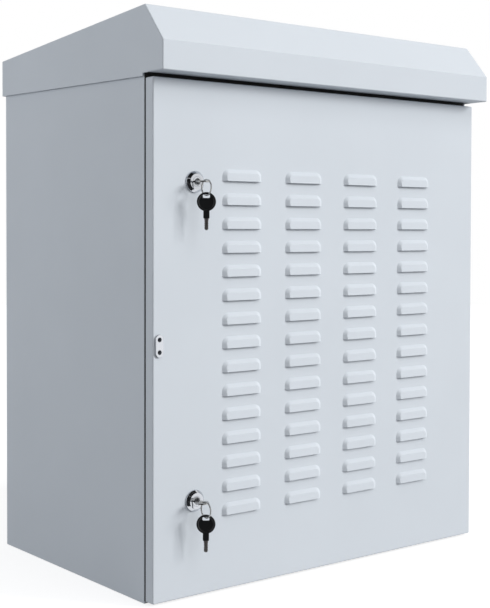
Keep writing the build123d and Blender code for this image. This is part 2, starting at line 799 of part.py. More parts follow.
# Filter mat: lies against the inside of the louvred field
mat_width = louvre_field_width + 2 * filter_margin
mat_height = louvre_field_height + 2 * filter_margin
with BuildPart() as filter_mat:
    with BuildSketch(skin_inner_plane):
        with Locations((louvre_offset_x, louvre_field_middle_z)):
            Rectangle(mat_width, mat_height)
    extrude(amount=-filter_thickness)
filter_mat.part.label = "filter_mat"
export_step(filter_mat.part, "parts/filter_mat.step")

# Filter frame: a shallow tray over the mat, with windows and a border that is fixed to the door
stud_spacing_x = mat_width + 2 * sheet + filter_lug
stud_spacing_z = mat_height / filter_stud_rows
filter_middle = (louvre_offset_x, louvre_field_middle_z)
window_width = (mat_width - 2 * filter_border + filter_bar) / filter_window_columns
window_height = (mat_height - 2 * filter_border + filter_bar) / filter_window_rows
with BuildPart() as filter_frame:
    with BuildSketch(skin_inner_plane):
        with Locations(filter_middle):
            Rectangle(mat_width + 2 * (sheet + filter_lug), mat_height + 2 * (sheet + filter_lug))
    extrude(amount=-sheet)
    with BuildSketch(skin_inner_plane):
        with Locations(filter_middle):
            Rectangle(mat_width + 2 * sheet, mat_height + 2 * sheet)
    extrude(amount=-(filter_thickness + sheet))
    with BuildSketch(skin_inner_plane):
        with Locations(filter_middle):
            Rectangle(mat_width, mat_height)
    extrude(amount=-filter_thickness, mode=Mode.SUBTRACT)
    with BuildSketch(skin_inner_plane):
        with Locations(filter_middle):
            with GridLocations(window_width, window_height, filter_window_columns, filter_window_rows):
                Rectangle(window_width - filter_bar, window_height - filter_bar)
            with GridLocations(stud_spacing_x, stud_spacing_z, 2, filter_stud_rows):
                Circle(filter_stud_radius + screw_clearance)
    extrude(amount=-(filter_thickness + sheet), mode=Mode.SUBTRACT)
filter_frame.part.label = "filter_frame"
export_step(filter_frame.part, "parts/filter_frame.step")

# Filter studs, welded inside the door, and the nuts on them
with BuildPart() as filter_studs:
    with BuildSketch(skin_inner_plane):
        with Locations(filter_middle):
            with GridLocations(stud_spacing_x, stud_spacing_z, 2, filter_stud_rows):
                Circle(filter_stud_radius)
    extrude(amount=-filter_stud_length)
filter_studs.part.label = "filter_studs"
export_step(filter_studs.part, "parts/filter_studs.step")

with BuildPart() as filter_nuts:
    with BuildSketch(Plane.XZ.offset(-skin_inner - sheet)):
        with Locations(filter_middle):
            with GridLocations(stud_spacing_x, stud_spacing_z, 2, filter_stud_rows):
                RegularPolygon(filter_nut_across / 2, 6, major_radius=False)
                Circle(filter_stud_radius, mode=Mode.SUBTRACT)
    extrude(amount=-filter_nut_height)
filter_nuts.part.label = "filter_nuts"
export_step(filter_nuts.part, "parts/filter_nuts.step")

# Seal plate: an obround plate with two holes for a seal wire
with BuildPart() as seal_plate:
    with BuildSketch(door_front_plane):
        with Locations((seal_plate_inset - half_width, door_bottom + seal_plate_rise)):
            SlotOverall(seal_plate_height, seal_plate_width, rotation=90)
            with GridLocations(0, seal_hole_spacing, 1, 2):
                Circle(seal_hole_radius, mode=Mode.SUBTRACT)
    extrude(amount=seal_plate_thickness)
seal_plate.part.label = "seal_plate"
export_step(seal_plate.part, "parts/seal_plate.step")

# Lock nuts, inside the door
lock_hexagon = hexagon_nut(lock_nut_across, lock_nut_height, barrel_radius)
with BuildPart(skin_inner_plane.rotated((180, 0, 0))) as lock_nuts:
    for lock_name, lock_z in lock_places:
        with Locations((lock_x, -lock_z)):
            add(lock_hexagon)
lock_nuts.part.label = "lock_nuts"
export_step(lock_nuts.part, "parts/lock_nuts.step")

for lock_name, lock_z in lock_places:
    lock_axis = Axis((lock_x, 0, lock_z), (0, 1, 0))
    lock_plane = Plane.XY.offset(lock_z)
    lock_face_plane = Plane((lock_x, lock_face, lock_z), x_dir=(1, 0, 0), z_dir=(0, -1, 0))
    plug_bore = plug_radius + running_clearance

    # Lock barrel: a domed escutcheon outside the door and a round body through it
    with BuildPart() as lock_barrel:
        with BuildSketch(lock_plane):
            with BuildLine():
                Polyline(
                    (lock_x + escutcheon_radius, door_front - escutcheon_rim),
                    (lock_x + escutcheon_radius, door_front),
                    (lock_x + barrel_radius, door_front),
                    (lock_x + barrel_radius, barrel_rear),
                    (lock_x + plug_bore, barrel_rear),
                    (lock_x + plug_bore, lock_face),
                    (lock_x + escutcheon_face_radius, lock_face),
                    close=True,
                )
            make_face()
        revolve(axis=lock_axis)
    lock_barrel.part.label = f"{lock_name}_lock_barrel"
    export_step(lock_barrel.part, f"parts/{lock_name}_lock_barrel.step")

    # Lock plug: turns in the barrel, with a keyway in front and a square drive behind
    with BuildPart(lock_face_plane) as lock_plug:
        with BuildSketch(lock_face_plane):
            Circle(plug_radius)
        extrude(amount=lock_face - cam_front)
        with BuildSketch(lock_face_plane.offset(lock_face - cam_front)):
            Rectangle(plug_drive, plug_drive)
        extrude(amount=-cam_thickness)
        with BuildSketch(lock_face_plane):
            Rectangle(key_blade_width + 2 * keyway_clearance, key_thickness + 2 * keyway_clearance)
        extrude(amount=-(key_blade_length + keyway_clearance), mode=Mode.SUBTRACT)
        with BuildSketch(lock_face_plane.offset(lock_face - cam_rear)):
            Circle(cam_screw_radius)
        extrude(amount=cam_screw_length, mode=Mode.SUBTRACT)
    lock_plug.part.label = f"{lock_name}_lock_plug"
    export_step(lock_plug.part, f"parts/{lock_name}_lock_plug.step")

    # Lock cam: hangs down when unlocked, and turns behind the front frame to lock
    with BuildPart() as lock_cam:
        with BuildSketch(lock_face_plane.offset(lock_face - cam_front)):
            with Locations((0, -(cam_reach - cam_width) / 2)):
                SlotOverall(cam_reach, cam_width, rotation=90)
            Rectangle(plug_drive, plug_drive, mode=Mode.SUBTRACT)
        extrude(amount=-cam_thickness)
    lock_cam.part.label = f"{lock_name}_lock_cam"
    export_step(lock_cam.part, f"parts/{lock_name}_lock_cam.step")

    # Cam screw
    with BuildPart() as cam_screw:
        with BuildSketch(lock_face_plane.offset(lock_face - cam_rear)):
            Circle(cam_screw_head_radius)
        extrude(amount=-cam_screw_head_height)
        with BuildSketch(lock_face_plane.offset(lock_face - cam_rear)):
            Circle(cam_screw_radius)
        extrude(amount=cam_screw_length)
    cam_screw.part.label = f"{lock_name}_cam_screw"
    export_step(cam_screw.part, f"parts/{lock_name}_cam_screw.step")

    # Key in the lock: a flat key, lying level, with a hole near the end of its bow
    with BuildPart() as lock_key:
        with BuildSketch(lock_plane):
            with Locations((lock_x, lock_face)):
                Rectangle(key_blade_width, key_blade_length, align=(Align.CENTER, Align.MIN))
                Rectangle(
                    key_neck_width,
                    key_neck_length + key_bow_radius,
                    align=(Align.CENTER, Align.MAX),
                )
            with Locations((lock_x, bow_end + key_bow_radius)):
                Circle(key_bow_radius)
            with Locations((lock_x, bow_end + key_bridge + key_hole_radius)):
                Circle(key_hole_radius, mode=Mode.SUBTRACT)
        extrude(amount=key_thickness / 2, both=True)
    lock_key.part.label = f"{lock_name}_key"
    export_step(lock_key.part, f"parts/{lock_name}_key.step")

    # Key ring: hangs edge on from the bridge of the key's bow
    ring_plane = Plane((lock_x, ring_pivot_y, lock_z - ring_drop), x_dir=(0, 1, 0), z_dir=(1, 0, 0))
    with BuildPart() as key_ring:
        with BuildSketch(ring_plane):
            Circle(ring_inner_radius + ring_wire)
            Circle(ring_inner_radius, mode=Mode.SUBTRACT)
        extrude(amount=ring_wire / 2, both=True)
    key_ring.part.label = f"{lock_name}_key_ring"
    export_step(key_ring.part, f"parts/{lock_name}_key_ring.step")

    # Spare key: hangs from the foot of the ring, its face turned to the lock edge of the door
    turn = math.radians(spare_turn)
    spare_plane = Plane(
        (lock_x, ring_pivot_y, lock_z - spare_pivot_drop),
        x_dir=(math.cos(turn), -math.sin(turn), 0),
        z_dir=(-math.sin(turn), -math.cos(turn), 0),
    )

    # Blade of the spare key, with a tang inside the head
    with BuildPart() as spare_key_blade:
        with BuildSketch(spare_plane):
            with Locations((0, spare_neck_end + spare_tang_length)):
                Rectangle(
                    spare_blade_width,
                    spare_tang_length + spare_blade_length,
                    align=(Align.CENTER, Align.MAX),
                )
            chamfer(vertices().group_by(Axis.Y)[0], spare_blade_tip)
        extrude(amount=spare_blade_thickness / 2, both=True)
    spare_key_blade.part.label = f"{lock_name}_spare_key_blade"
    export_step(spare_key_blade.part, f"parts/{lock_name}_spare_key_blade.step")

    # Moulded head of the spare key
    with BuildPart() as spare_key_head:
        with BuildSketch(spare_plane):
            with Locations((0, spare_bow_middle)):
                Circle(spare_head_radius)
            with Locations((0, spare_neck_end)):
                Rectangle(
                    spare_neck_width,
                    spare_neck_length + spare_head_radius,
                    align=(Align.CENTER, Align.MIN),
                )
            with Locations((0, spare_bow_top - spare_bridge - spare_hole_height / 2)):
                RectangleRounded(
                    spare_hole_width, spare_hole_height, spare_hole_corner, mode=Mode.SUBTRACT
                )
        extrude(amount=spare_head_thickness / 2, both=True)
        with BuildSketch(spare_plane):
            with Locations((0, spare_neck_end)):
                Rectangle(spare_blade_width, spare_tang_length, align=(Align.CENTER, Align.MIN))
        extrude(amount=spare_blade_thickness / 2, both=True, mode=Mode.SUBTRACT)
    spare_key_head.part.label = f"{lock_name}_spare_key_head"
    export_step(spare_key_head.part, f"parts/{lock_name}_spare_key_head.step")
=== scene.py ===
"""Looks of a roadside utility cabinet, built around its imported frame.

Lengths are in metres, in the frame of the CAD model: +Z is up and the door faces -Y.
"""

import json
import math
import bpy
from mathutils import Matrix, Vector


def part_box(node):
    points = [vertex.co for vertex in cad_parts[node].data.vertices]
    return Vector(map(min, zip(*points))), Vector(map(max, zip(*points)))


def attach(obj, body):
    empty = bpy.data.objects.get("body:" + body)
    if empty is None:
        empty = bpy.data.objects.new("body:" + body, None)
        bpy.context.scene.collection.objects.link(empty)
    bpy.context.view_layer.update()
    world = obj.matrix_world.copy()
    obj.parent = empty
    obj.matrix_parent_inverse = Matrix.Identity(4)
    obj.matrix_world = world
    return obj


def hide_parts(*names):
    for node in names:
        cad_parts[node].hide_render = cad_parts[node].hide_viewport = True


bl_info = {
    "name": "Roadside utility cabinet",
    "version": (1, 0, 0),
    "blender": (4, 5, 0),
    "location": "3D View > Sidebar > Cabinet",
    "description": "Dresses the packed cabinet with finished surfaces, materials, light and a camera",
    "category": "Object",
}

import bmesh
import bpy
import numpy as np
from bpy.props import FloatProperty, FloatVectorProperty, IntProperty, PointerProperty
from mathutils import Matrix, Vector

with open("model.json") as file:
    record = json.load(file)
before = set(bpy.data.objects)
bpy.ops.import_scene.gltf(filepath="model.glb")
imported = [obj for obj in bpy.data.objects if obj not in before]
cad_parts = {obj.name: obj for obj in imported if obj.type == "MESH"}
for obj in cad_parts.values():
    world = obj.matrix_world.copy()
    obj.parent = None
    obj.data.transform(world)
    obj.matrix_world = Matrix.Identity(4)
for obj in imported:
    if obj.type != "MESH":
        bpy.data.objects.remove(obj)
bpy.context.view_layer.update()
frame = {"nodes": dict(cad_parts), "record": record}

millimetre = 0.001
weld = 0.00001
quarter_turn = math.pi / 2
full_turn = 2 * math.pi
smooth_limit = math.radians(32)

door_low, door_high = (np.array(corner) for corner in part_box("door_skin"))
hood_low, hood_high = (np.array(corner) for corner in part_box("rain_hood"))
seal_low, seal_high = (np.array(corner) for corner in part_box("seal_plate"))
buffer_low, buffer_high = (np.array(corner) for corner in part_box("door_buffer"))
lock_boxes = {name: np.array(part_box(f"{name}_lock_barrel")) for name in ("upper", "lower")}
ring_boxes = {name: np.array(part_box(f"{name}_key_ring")) for name in lock_boxes}


def linear(code):
    """Linear red, green and blue of an sRGB hex value."""
    share = np.array([int(code[place : place + 2], 16) for place in (1, 3, 5)]) / 255
    bright = ((share + 0.055) / 1.055) ** 2.4
    return tuple(np.where(share <= 0.04045, share / 12.92, bright).tolist())


def length(name, description, default):
    """A property that holds a length in metres."""
    return FloatProperty(name=name, description=description, default=default, unit="LENGTH", precision=5)


def position(name, description, default):
    """A property that holds a place in metres."""
    return FloatVectorProperty(name=name, description=description, default=default, subtype="TRANSLATION")


def in_degrees(name, description, default):
    """A property that holds an angle, from its degrees."""
    return FloatProperty(name=name, description=description, default=math.radians(default), subtype="ANGLE")


def wattage(name, description, default):
    """A property that holds the power of a lamp."""
    return FloatProperty(name=name, description=description, default=default, unit="POWER")


def colour(name, description, code):
    """A property that holds a colour, from its sRGB hex value."""
    return FloatVectorProperty(
        name=name, description=description, default=linear(code), size=3, min=0, max=1, subtype="COLOR"
    )


class CabinetColours(bpy.types.PropertyGroup):
    """Colours of the cabinet's finishes."""

    coat: colour("Powder coat", "Light grey powder coat of the sheet steel", "#CDD4DC")
    coat_deep: colour("Powder coat, deep", "The coat where it lies thicker", "#C6CDD5")
    zinc: colour("Zinc plate", "Bright zinc plate of the inner steel parts", "#C4C8CA")
    chrome: colour("Chrome", "Chrome plate of the locks and seal plate", "#CDD0D5")
    nickel: colour("Nickel", "Nickel plate of the keys and rings", "#BFBFBE")
    blade: colour("Key blade", "Tarnished blade of the spare keys", "#9A9695")
    plastic: colour("Key plastic", "Black moulded heads of the spare keys", "#17181A")
    # Real colour of the gasket and cable seal; on the buffer strip this dark rubber is painted shade in the
    # door gap
    rubber: colour("Rubber", "Gasket, cable seal and buffer strip", "#202122")
    fleece: colour("Filter fleece", "Needled filter mat", "#D9D8D2")
    brass: colour("Brass", "Earth stud and nut", "#C6A15A")


class DoorSizes(bpy.types.PropertyGroup):
    """Sizes of the door skin, its pressed louvres and the buffer strip behind it."""

    sheet: length("Sheet", "Thickness of the sheet steel", 0.0015)
    bend: length("Bend radius", "Outer radius of the folded edges", 0.0018)
    turned_in: length("Return", "Width of the return, from the door's edge", 0.0135)
    columns: IntProperty(name="Columns", description="Louvres side by side", default=4, min=1)
    rows: IntProperty(name="Rows", description="Louvres one above another", default=15, min=1)
    pitch_x: length("Pitch across", "Distance between louvre columns", 0.1086)
    pitch_z: length("Pitch up", "Distance between louvre rows", 0.03165)
    offset_x: length("Offset", "Middle of the louvre field", 0.0055)
    lowest: length("Lowest edge", "Height of the lowest louvre's open edge", 0.1024)
    louvre_length: length("Louvre length", "Length of a louvre at its foot", 0.066)
    louvre_height: length("Louvre height", "Height of a louvre at its foot", 0.0155)
    louvre_depth: length("Louvre depth", "How far a louvre stands forward", 0.0045)
    fall: length("Louvre fall", "How far a louvre's front falls back towards its top", 0.0015)
    corner: length("Louvre corner", "Radius of the upper corners", 0.01)
    foot: length("Foot radius", "Radius where the louvre leaves the sheet", 0.0015)
    shoulder: length("Shoulder radius", "Radius where the slope meets the front", 0.0025)
    slope: in_degrees("Slope", "Angle of the louvre's slope", 36)
    notch_height: length("Hinge notch", "Height of the notch at each hinge", 0.062)
    leaf_height: length("Hinge leaf", "Height of the door's leaf at each hinge", 0.028)
    # The buffer strip's dark rubber is painted shade in the door gap; these sizes set where it lies
    buffer_width: length("Buffer width", "Width of the buffer strip behind the door's edges", 0.01)
    buffer_edge: length("Buffer edge", "Radius of the buffer strip's front edges", 0.0005)
    buffer_gap: length("Buffer gap", "Height of the strip's long end above the door", 0.001)


class HoodSizes(bpy.types.PropertyGroup):
    """Sizes of the rain hood."""

    sheet: length("Sheet", "Thickness of the sheet steel", 0.0015)
    bend: length("Bend radius", "Outer radius of the folded edges", 0.0018)
    ridge_y: length("Ridge place", "Where the ridge lies along Y", -0.196)
    ridge_z: length("Ridge height", "Height where top and bevel would meet", 0.767)
    bevel_z: length("Bevel foot", "Height of the bevel's lower edge", 0.718)
    lip_z: length("Lip foot", "Height of the lip's lower edge", 0.68)
    eave_z: length("Rear eave", "Height of the rear upper edge", 0.7347)
    rear_z: length("Rear foot", "Height of the rear lower edge", 0.682)
    step_y: length("Skirt step", "Where the skirt steps down along Y", -0.19125)
    turned_in: length("Return", "Width of the return under the lip", 0.034)


class LockSizes(bpy.types.PropertyGroup):
    """Sizes of the cam locks and the seal plate."""

    rim: length("Rim", "Thickness of the escutcheon's rim", 0.002)
    face_radius: length("Face radius", "Radius of the escutcheon's flat face", 0.0109)
    edge: length("Edge", "Radius of the rounded edges", 0.0006)
    bore: length("Bore", "Radius of the plug's bore", 0.00655)
    barrel_radius: length("Barrel radius", "Radius of the threaded barrel", 0.0095)
    clearance: length("Clearance", "Gap around the barrel in the door", 0.0002)
    thread_pitch: length("Thread pitch", "Pitch of the barrel's thread", 0.0012)
    thread_depth: length("Thread depth", "Depth of the barrel's thread", 0.0005)
    dish_radius: length("Dish radius", "Outer radius of the dish in the plug's face", 0.0046)
    dish_floor: length("Dish floor", "Radius of the dish's flat floor", 0.0034)
    dish_depth: length("Dish depth", "Depth of the dish in the plug's face", 0.0014)
    seal_hole: length("Seal hole", "Radius of the seal plate's holes", 0.003)
    seal_spacing: length("Seal hole spacing", "Distance between the seal plate's holes", 0.0162)


class KeySizes(bpy.types.PropertyGroup):
    """Sizes of the keys and key rings."""

    thickness: length("Key thickness", "Thickness of the key in the lock", 0.0018)
    blade_width: length("Blade width", "Width of a key's blade", 0.0055)
    blade_length: length("Blade length", "Length of the blade in the lock", 0.015)
    neck_width: length("Neck width", "Width of the neck", 0.0075)
    bow_radius: length("Bow radius", "Radius of the bow", 0.009)
    hole_radius: length("Hole radius", "Radius of the bow's hole", 0.004)
    bridge: length("Bridge", "Metal between the hole and the bow's end", 0.002)
    edge: length("Edge", "Radius of the keys' edges", 0.0003)
    wire: length("Ring wire", "Width of the ring's flat wire", 0.0015)
    ring_radius: length("Ring radius", "Radius of the middle of the ring's wire", 0.01015)
    ring_gap: in_degrees("Ring gap", "Turn left free at each end of the coil", 1.7189)
    ring_step: in_degrees("Ring step", "Turn over which the coil steps aside", 68.755)
    turn: in_degrees("Spare key turn", "Turn of the spare key", 38)
    head_radius: length("Head radius", "Radius of the spare key's head", 0.0123)
    head_thickness: length("Head thickness", "Thickness of the spare key's head", 0.0032)
    head_edge: length("Head edge", "Radius of the head's edges", 0.0007)
    head_dish: length("Head dish", "Depth of the dish in the head's faces", 0.0009)
    head_rim: length("Head rim", "Width of the rim around the dish", 0.0022)
    head_top: length("Head top", "Top of the head above the ring's wire", 0.00425)
    head_bridge: length("Head bridge", "Plastic above the head's hole", 0.003)
    head_hole_width: length("Head hole width", "Width of the head's hole", 0.009)
    head_hole_height: length("Head hole height", "Height of the head's hole", 0.0046)
    head_hole_corner: length("Head hole corner", "Radius of the hole's corners", 0.0014)
    head_neck_width: length("Head neck width", "Width of the head's neck", 0.008)
    head_neck_length: length("Head neck length", "Length of the head's neck", 0.0092)
    head_neck_corner: length("Head neck corner", "Radius of the neck's corners", 0.0009)
    spare_length: length("Spare blade", "Length of the spare key's blade", 0.015)
    spare_root: length("Spare root", "Length of the blade inside the head", 0.005)
    cut_depth: length("Cut depth", "Depth of the cuts along the blade", 0.0006)
    cut_pitch: length("Cut pitch", "Distance between the cuts", 0.0022)
    cut_start: length("Cut start", "Where the cuts begin below the head", 0.002)
    tip: length("Tip", "Length of the blade's rounded tip", 0.0024)
    groove: length("Groove", "Half the width of the blade's groove", 0.0009)
    groove_depth: length("Groove depth", "Depth of the blade's groove", 0.00045)


class StageSettings(bpy.types.PropertyGroup):
    """Camera, lamps, floor and the dark cards that bright metal mirrors."""

    focal_pixels: FloatProperty(name="Focal length", description="In pixels of the picture", default=1219.1)
    middle: FloatVectorProperty(
        name="Picture middle", description="Pixel that the view axis meets", default=(254.0, 260.0), size=2
    )
    eye: position("Eye", "Place of the camera", (-1.16143, -1.4935, 0.48231))
    yaw: in_degrees("Yaw", "Turn to the right", 38.608)
    pitch: in_degrees("Pitch", "Tilt down", 1.464)
    roll: in_degrees("Roll", "Turn about the view", 0.15)
    key_power: wattage("Key light", "Power of the key light", 2120.0)
    key_size: length("Key size", "Width of the key light", 5.1)
    key_place: position("Key place", "Where the key light stands, to the right", (9.9, -11.1, 6.2))
    key_tint: colour("Key tint", "Colour of the key light", "#FFFDFA")
    top_power: wattage("Top light", "Power of the top light", 58.0)
    top_size: length("Top size", "Width of the top light", 2.4)
    top_place: position("Top place", "Where the top light hangs", (0.6, -3.4, 4.4))
    top_tint: colour("Top tint", "Colour of the top light", "#FFFFFF")
    fill_power: wattage("Fill light", "Power of the fill light", 32.0)
    fill_size: length("Fill size", "Width of the fill light", 3.0)
    fill_place: position("Fill place", "Where the fill light stands, low in front", (-0.6, -6.0, 0.3))
    fill_tint: colour("Fill tint", "Colour of the fill light", "#FFFFFF")
    side_power: wattage("Side light", "Power of the side light", 72.0)
    side_size: length("Side size", "Width of the side light", 2.4)
    side_place: position("Side place", "Where the side light stands, at the left rear", (-4.2, 3.0, 1.4))
    side_tint: colour("Side tint", "Colour of the side light", "#F6FAFF")
    sky: FloatProperty(name="Sky", description="Strength of the even light", default=0.35)
    floor: colour("Floor", "Colour of the floor", "#9C9D9F")
    floor_glow: FloatProperty(name="Floor glow", description="Light added where it is seen", default=0.78)
    floor_radius: length("Floor radius", "Radius of the floor", 6.0)
    floor_drop: length("Floor drop", "How far the floor lies below the cabinet", 0.0005)
    floor_grain: length("Floor grain", "Size of the patches of gloss on the floor", 0.025)
    dark_card: colour("Dark card", "The cards that bright metal mirrors", "#1B1C1F")
    card_away: length("Card distance", "From the door to the card behind the camera", 2.0)
    card_half: length("Card width", "Half the width of that card", 1.9)
    card_rise: length("Card height", "Half the height of that card", 1.3)
    ceiling_away: length("Ceiling distance", "From the door to the ceiling card", 1.0)
    ceiling_rise: length("Ceiling height", "Height of the ceiling card above the door's middle", 1.7)
    ceiling_half: length("Ceiling depth", "Half the depth of the ceiling card", 1.4)
    ground_away: length("Ground distance", "From the door to the ground card", 1.1)
    ground_aside: length("Ground offset", "How far the ground card lies to the left", 0.98)
    ground_half: length("Ground width", "Half the width of the ground card", 1.12)
    ground_deep: length("Ground depth", "Half the depth of the ground card", 0.85)


def together(*parts):
    """Coordinates put together into points, each spread to the shape that all share."""
    return np.stack(np.broadcast_arrays(*parts), axis=-1)


def grid_faces(rows, columns, close_rows, close_columns):
    """Quads between neighbouring points of a grid that is stored row by row."""
    down = np.arange(rows if close_rows else rows - 1)[:, None]
    across = np.arange(columns if close_columns else columns - 1)[None, :]
    down_next = (down + 1) % rows
    across_next = (across + 1) % columns
    here = down * columns
    there = down_next * columns
    return together(here + across, here + across_next, there + across_next, there + across).reshape(-1, 4)


def mesh_from(name, grids, outlines=()):
    """A welded mesh from grids of points, each with its two closing flags, and from flat outlines."""
    points = []
    faces = []
    start = 0
    for grid, close_rows, close_columns in grids:
        rows, columns = grid.shape[:2]
        points.append(grid.reshape(-1, 3))
        faces.extend((grid_faces(rows, columns, close_rows, close_columns) + start).tolist())
        start += rows * columns
    for outline in outlines:
        points.append(outline)
        faces.append(list(range(start, start + len(outline))))
        start += len(outline)
    mesh = bpy.data.meshes.new(name)
    mesh.from_pydata(np.concatenate(points).tolist(), [], faces)
    work = bmesh.new()
    work.from_mesh(mesh)
    bmesh.ops.remove_doubles(work, verts=work.verts, dist=weld)
    bmesh.ops.recalc_face_normals(work, faces=work.faces)
    work.to_mesh(mesh)
    work.free()
    return mesh


def linked(name, mesh):
    """An object with this mesh, at the origin."""
    made = bpy.data.objects.new(name, mesh)
    bpy.context.scene.collection.objects.link(made)
    return made


def settle(piece):
    """Puts the result of a piece's modifiers into its mesh."""
    bpy.context.view_layer.update()
    seen = piece.evaluated_get(bpy.context.evaluated_depsgraph_get())
    mesh = bpy.data.meshes.new_from_object(seen)
    piece.modifiers.clear()
    piece.data = mesh
    mesh.name = piece.name


def add_piece(name, mesh, body, slot, nodes, finish="", wall=0.0, joined=(), cutters=()):
    """One finished piece: thickened inwards, joined, cut, smoothed by angle, and set on its body.

    Its finish is that of its slot, unless another is named.
    """
    piece = linked(name, mesh)
    if wall:
        solid = piece.modifiers.new("Wall", "SOLIDIFY")
        solid.thickness = wall
        solid.offset = -1
        solid.use_even_offset = True
    helpers = []
    for action, meshes in (("UNION", joined), ("DIFFERENCE", cutters)):
        for helper_mesh in meshes:
            helper = linked("helper", helper_mesh)
            helpers.append(helper)
            change = piece.modifiers.new("Shape", "BOOLEAN")
            change.operation = action
            change.solver = "EXACT"
            change.object = helper
    settle(piece)
    for helper in helpers:
        bpy.data.objects.remove(helper)
    piece.data.shade_smooth()
    piece.data.set_sharp_from_angle(angle=smooth_limit)
    normals = piece.modifiers.new("Normals", "WEIGHTED_NORMAL")
    normals.keep_sharp = True
    settle(piece)
    piece.data.materials.clear()
    piece.data.materials.append(materials[finish or slot])
    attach(piece, body)
    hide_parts(*nodes)
    return piece


def placed(across, along, up, origin, axes):
    """Points from three local coordinates, an origin and three axes."""
    return np.array(origin) + together(across, along, up) @ np.array(axes)


def revolved(profile, origin, steps):
    """Carries a profile of radius and depth around an axis along Y.

    Across is the radius times the cosine of the turn, and up is the radius times its sine.
    """
    turn = np.linspace(0, full_turn, steps, endpoint=False)
    radius = profile[:, :1]
    return placed(radius * np.cos(turn), profile[:, 1:], radius * np.sin(turn), origin, np.eye(3))


def slab(outline, middle, thickness, edge, origin, axes, steps=4):
    """A flat plate with rounded edges.

    Its outline is carried from face to face and drawn towards its middle by a quarter circle at each face.
    """
    turn = np.linspace(0, quarter_turn, steps + 1)
    rise = thickness / 2 - edge + edge * np.sin(turn)
    inset = edge * (1 - np.cos(turn))
    rises = np.concatenate((-rise[::-1], rise))
    insets = np.concatenate((inset[::-1], inset))
    spoke = outline - middle
    reach = np.linalg.norm(spoke, axis=1, keepdims=True)
    rings = middle + spoke * (1 - insets[:, None, None] / reach)
    heights = np.repeat(rises[:, None], len(outline), axis=1)
    hub = np.broadcast_to(middle, (1, len(outline), 2))
    flat = np.concatenate((hub, rings, hub))
    tall = np.concatenate((heights[:1], heights, heights[-1:]))
    grid = placed(flat[..., 0], flat[..., 1], tall, origin, axes)
    return grid, False, True


def capped(tube):
    """Rings of points with each end drawn together to its middle, as a grid that closes around."""
    hub = tube.mean(axis=1, keepdims=True)
    ends = np.repeat(hub[[0, -1]], tube.shape[1], axis=1)
    return np.concatenate((ends[:1], tube, ends[1:])), False, True


def arc(middle, radius, start, end, steps):
    """Points on a circle between two angles."""
    turn = np.linspace(start, end, steps)
    return np.array(middle) + radius * together(np.cos(turn), np.sin(turn))


def circle(middle, radius, steps):
    """Points all round a circle, without the last one that would meet the first."""
    return arc(middle, radius, 0, full_turn * (1 - 1 / steps), steps)


def rounded_rectangle(width, height, radius, steps=6):
    """Outline of a rectangle with rounded corners, around zero."""
    corners = ((1, 1, 0), (-1, 1, 1), (-1, -1, 2), (1, -1, 3))
    parts = []
    for side, end, quarter in corners:
        middle = (side * (width / 2 - radius), end * (height / 2 - radius))
        parts.append(arc(middle, radius, quarter * quarter_turn, (quarter + 1) * quarter_turn, steps))
    return np.concatenate(parts)


def prism(outline, middle, thickness, origin, axes):
    """A plate with edges so small that they are sharp, used to cut."""
    edge = thickness / 1000
    return slab(outline, np.array(middle), thickness, edge, origin, axes, 1)


def cut_cylinder(radius, origin, thickness, steps=48):
    """A cylinder along Y, used to cut."""
    outline = circle((0, 0), radius, steps)
    return mesh_from("cut", [prism(outline, (0, 0), thickness, origin, face_axes)])


neck_share = 0.97
blade_flat_share = 0.92
blade_brow_share = 0.75
groove_floor_share = 0.8
picture = np.array((490.0, 608.0))
square_corners = np.array(((-1, -1), (1, -1), (1, 1), (-1, 1)))
face_axes = ((1, 0, 0), (0, 0, 1), (0, -1, 0))
level_axes = ((1, 0, 0), (0, 1, 0), (0, 0, 1))


def add_node(tree, kind, inputs, **settings):
    """Adds one node with its settings; an input is a value, or a socket to link."""
    node = tree.nodes.new(kind)
    for name, value in settings.items():
        setattr(node, name, value)
    for name, value in inputs.items():
        if isinstance(value, bpy.types.NodeSocket):
            tree.links.new(value, node.inputs[name])
        else:
            node.inputs[name].default_value = value
    return node


def shaded(tone, share):
    """A tone made darker or lighter by a share."""
    return tuple(min(1.0, part * share) for part in tone)


def mottled(colours, name, tone, patch, rough, rough_patch, grain, relief, **more):
    """A surface whose colour drifts between two tones, with drifting gloss and a grain in relief.

    Patches, grain and relief are real sizes in millimetres; a noise texture's scale is one over such a size.
    """
    first = tuple(getattr(colours, tone))
    second = tuple(getattr(colours, more["deep"])) if "deep" in more else shaded(first, more["share"])
    made = bpy.data.materials.new(name)
    made.use_nodes = True
    tree = made.node_tree
    shade = tree.nodes["Principled BSDF"]
    place = add_node(tree, "ShaderNodeTexCoord", {}).outputs["Object"]
    stretch = {"Vector": place, "Scale": more.get("stretch", (1, 1, 1))}
    turned = add_node(tree, "ShaderNodeMapping", stretch).outputs["Vector"]
    noises = []
    for size, detail in ((patch, 4.0), (rough_patch, 3.0), (grain, 2.0)):
        pattern = {"Vector": turned, "Scale": 1 / (size * millimetre), "Detail": detail}
        noises.append(add_node(tree, "ShaderNodeTexNoise", pattern))
    patches, sheen, bumps = noises
    tones = {"Factor": patches.outputs["Fac"], "A": (*first, 1.0), "B": (*second, 1.0)}
    drift = add_node(tree, "ShaderNodeMix", tones, data_type="RGBA")
    tree.links.new(drift.outputs[2], shade.inputs["Base Color"])
    limits = {"Value": sheen.outputs["Fac"], "To Min": rough[0], "To Max": rough[1]}
    gloss = add_node(tree, "ShaderNodeMapRange", limits)
    tree.links.new(gloss.outputs["Result"], shade.inputs["Roughness"])
    height = {"Height": bumps.outputs["Fac"], "Distance": relief * millimetre, "Strength": 1.0}
    bump = add_node(tree, "ShaderNodeBump", height)
    tree.links.new(bump.outputs["Normal"], shade.inputs["Normal"])
    shade.inputs["Metallic"].default_value = more.get("metal", 0.0)
    if "ior" in more:
        shade.inputs["IOR"].default_value = more["ior"]
    return made


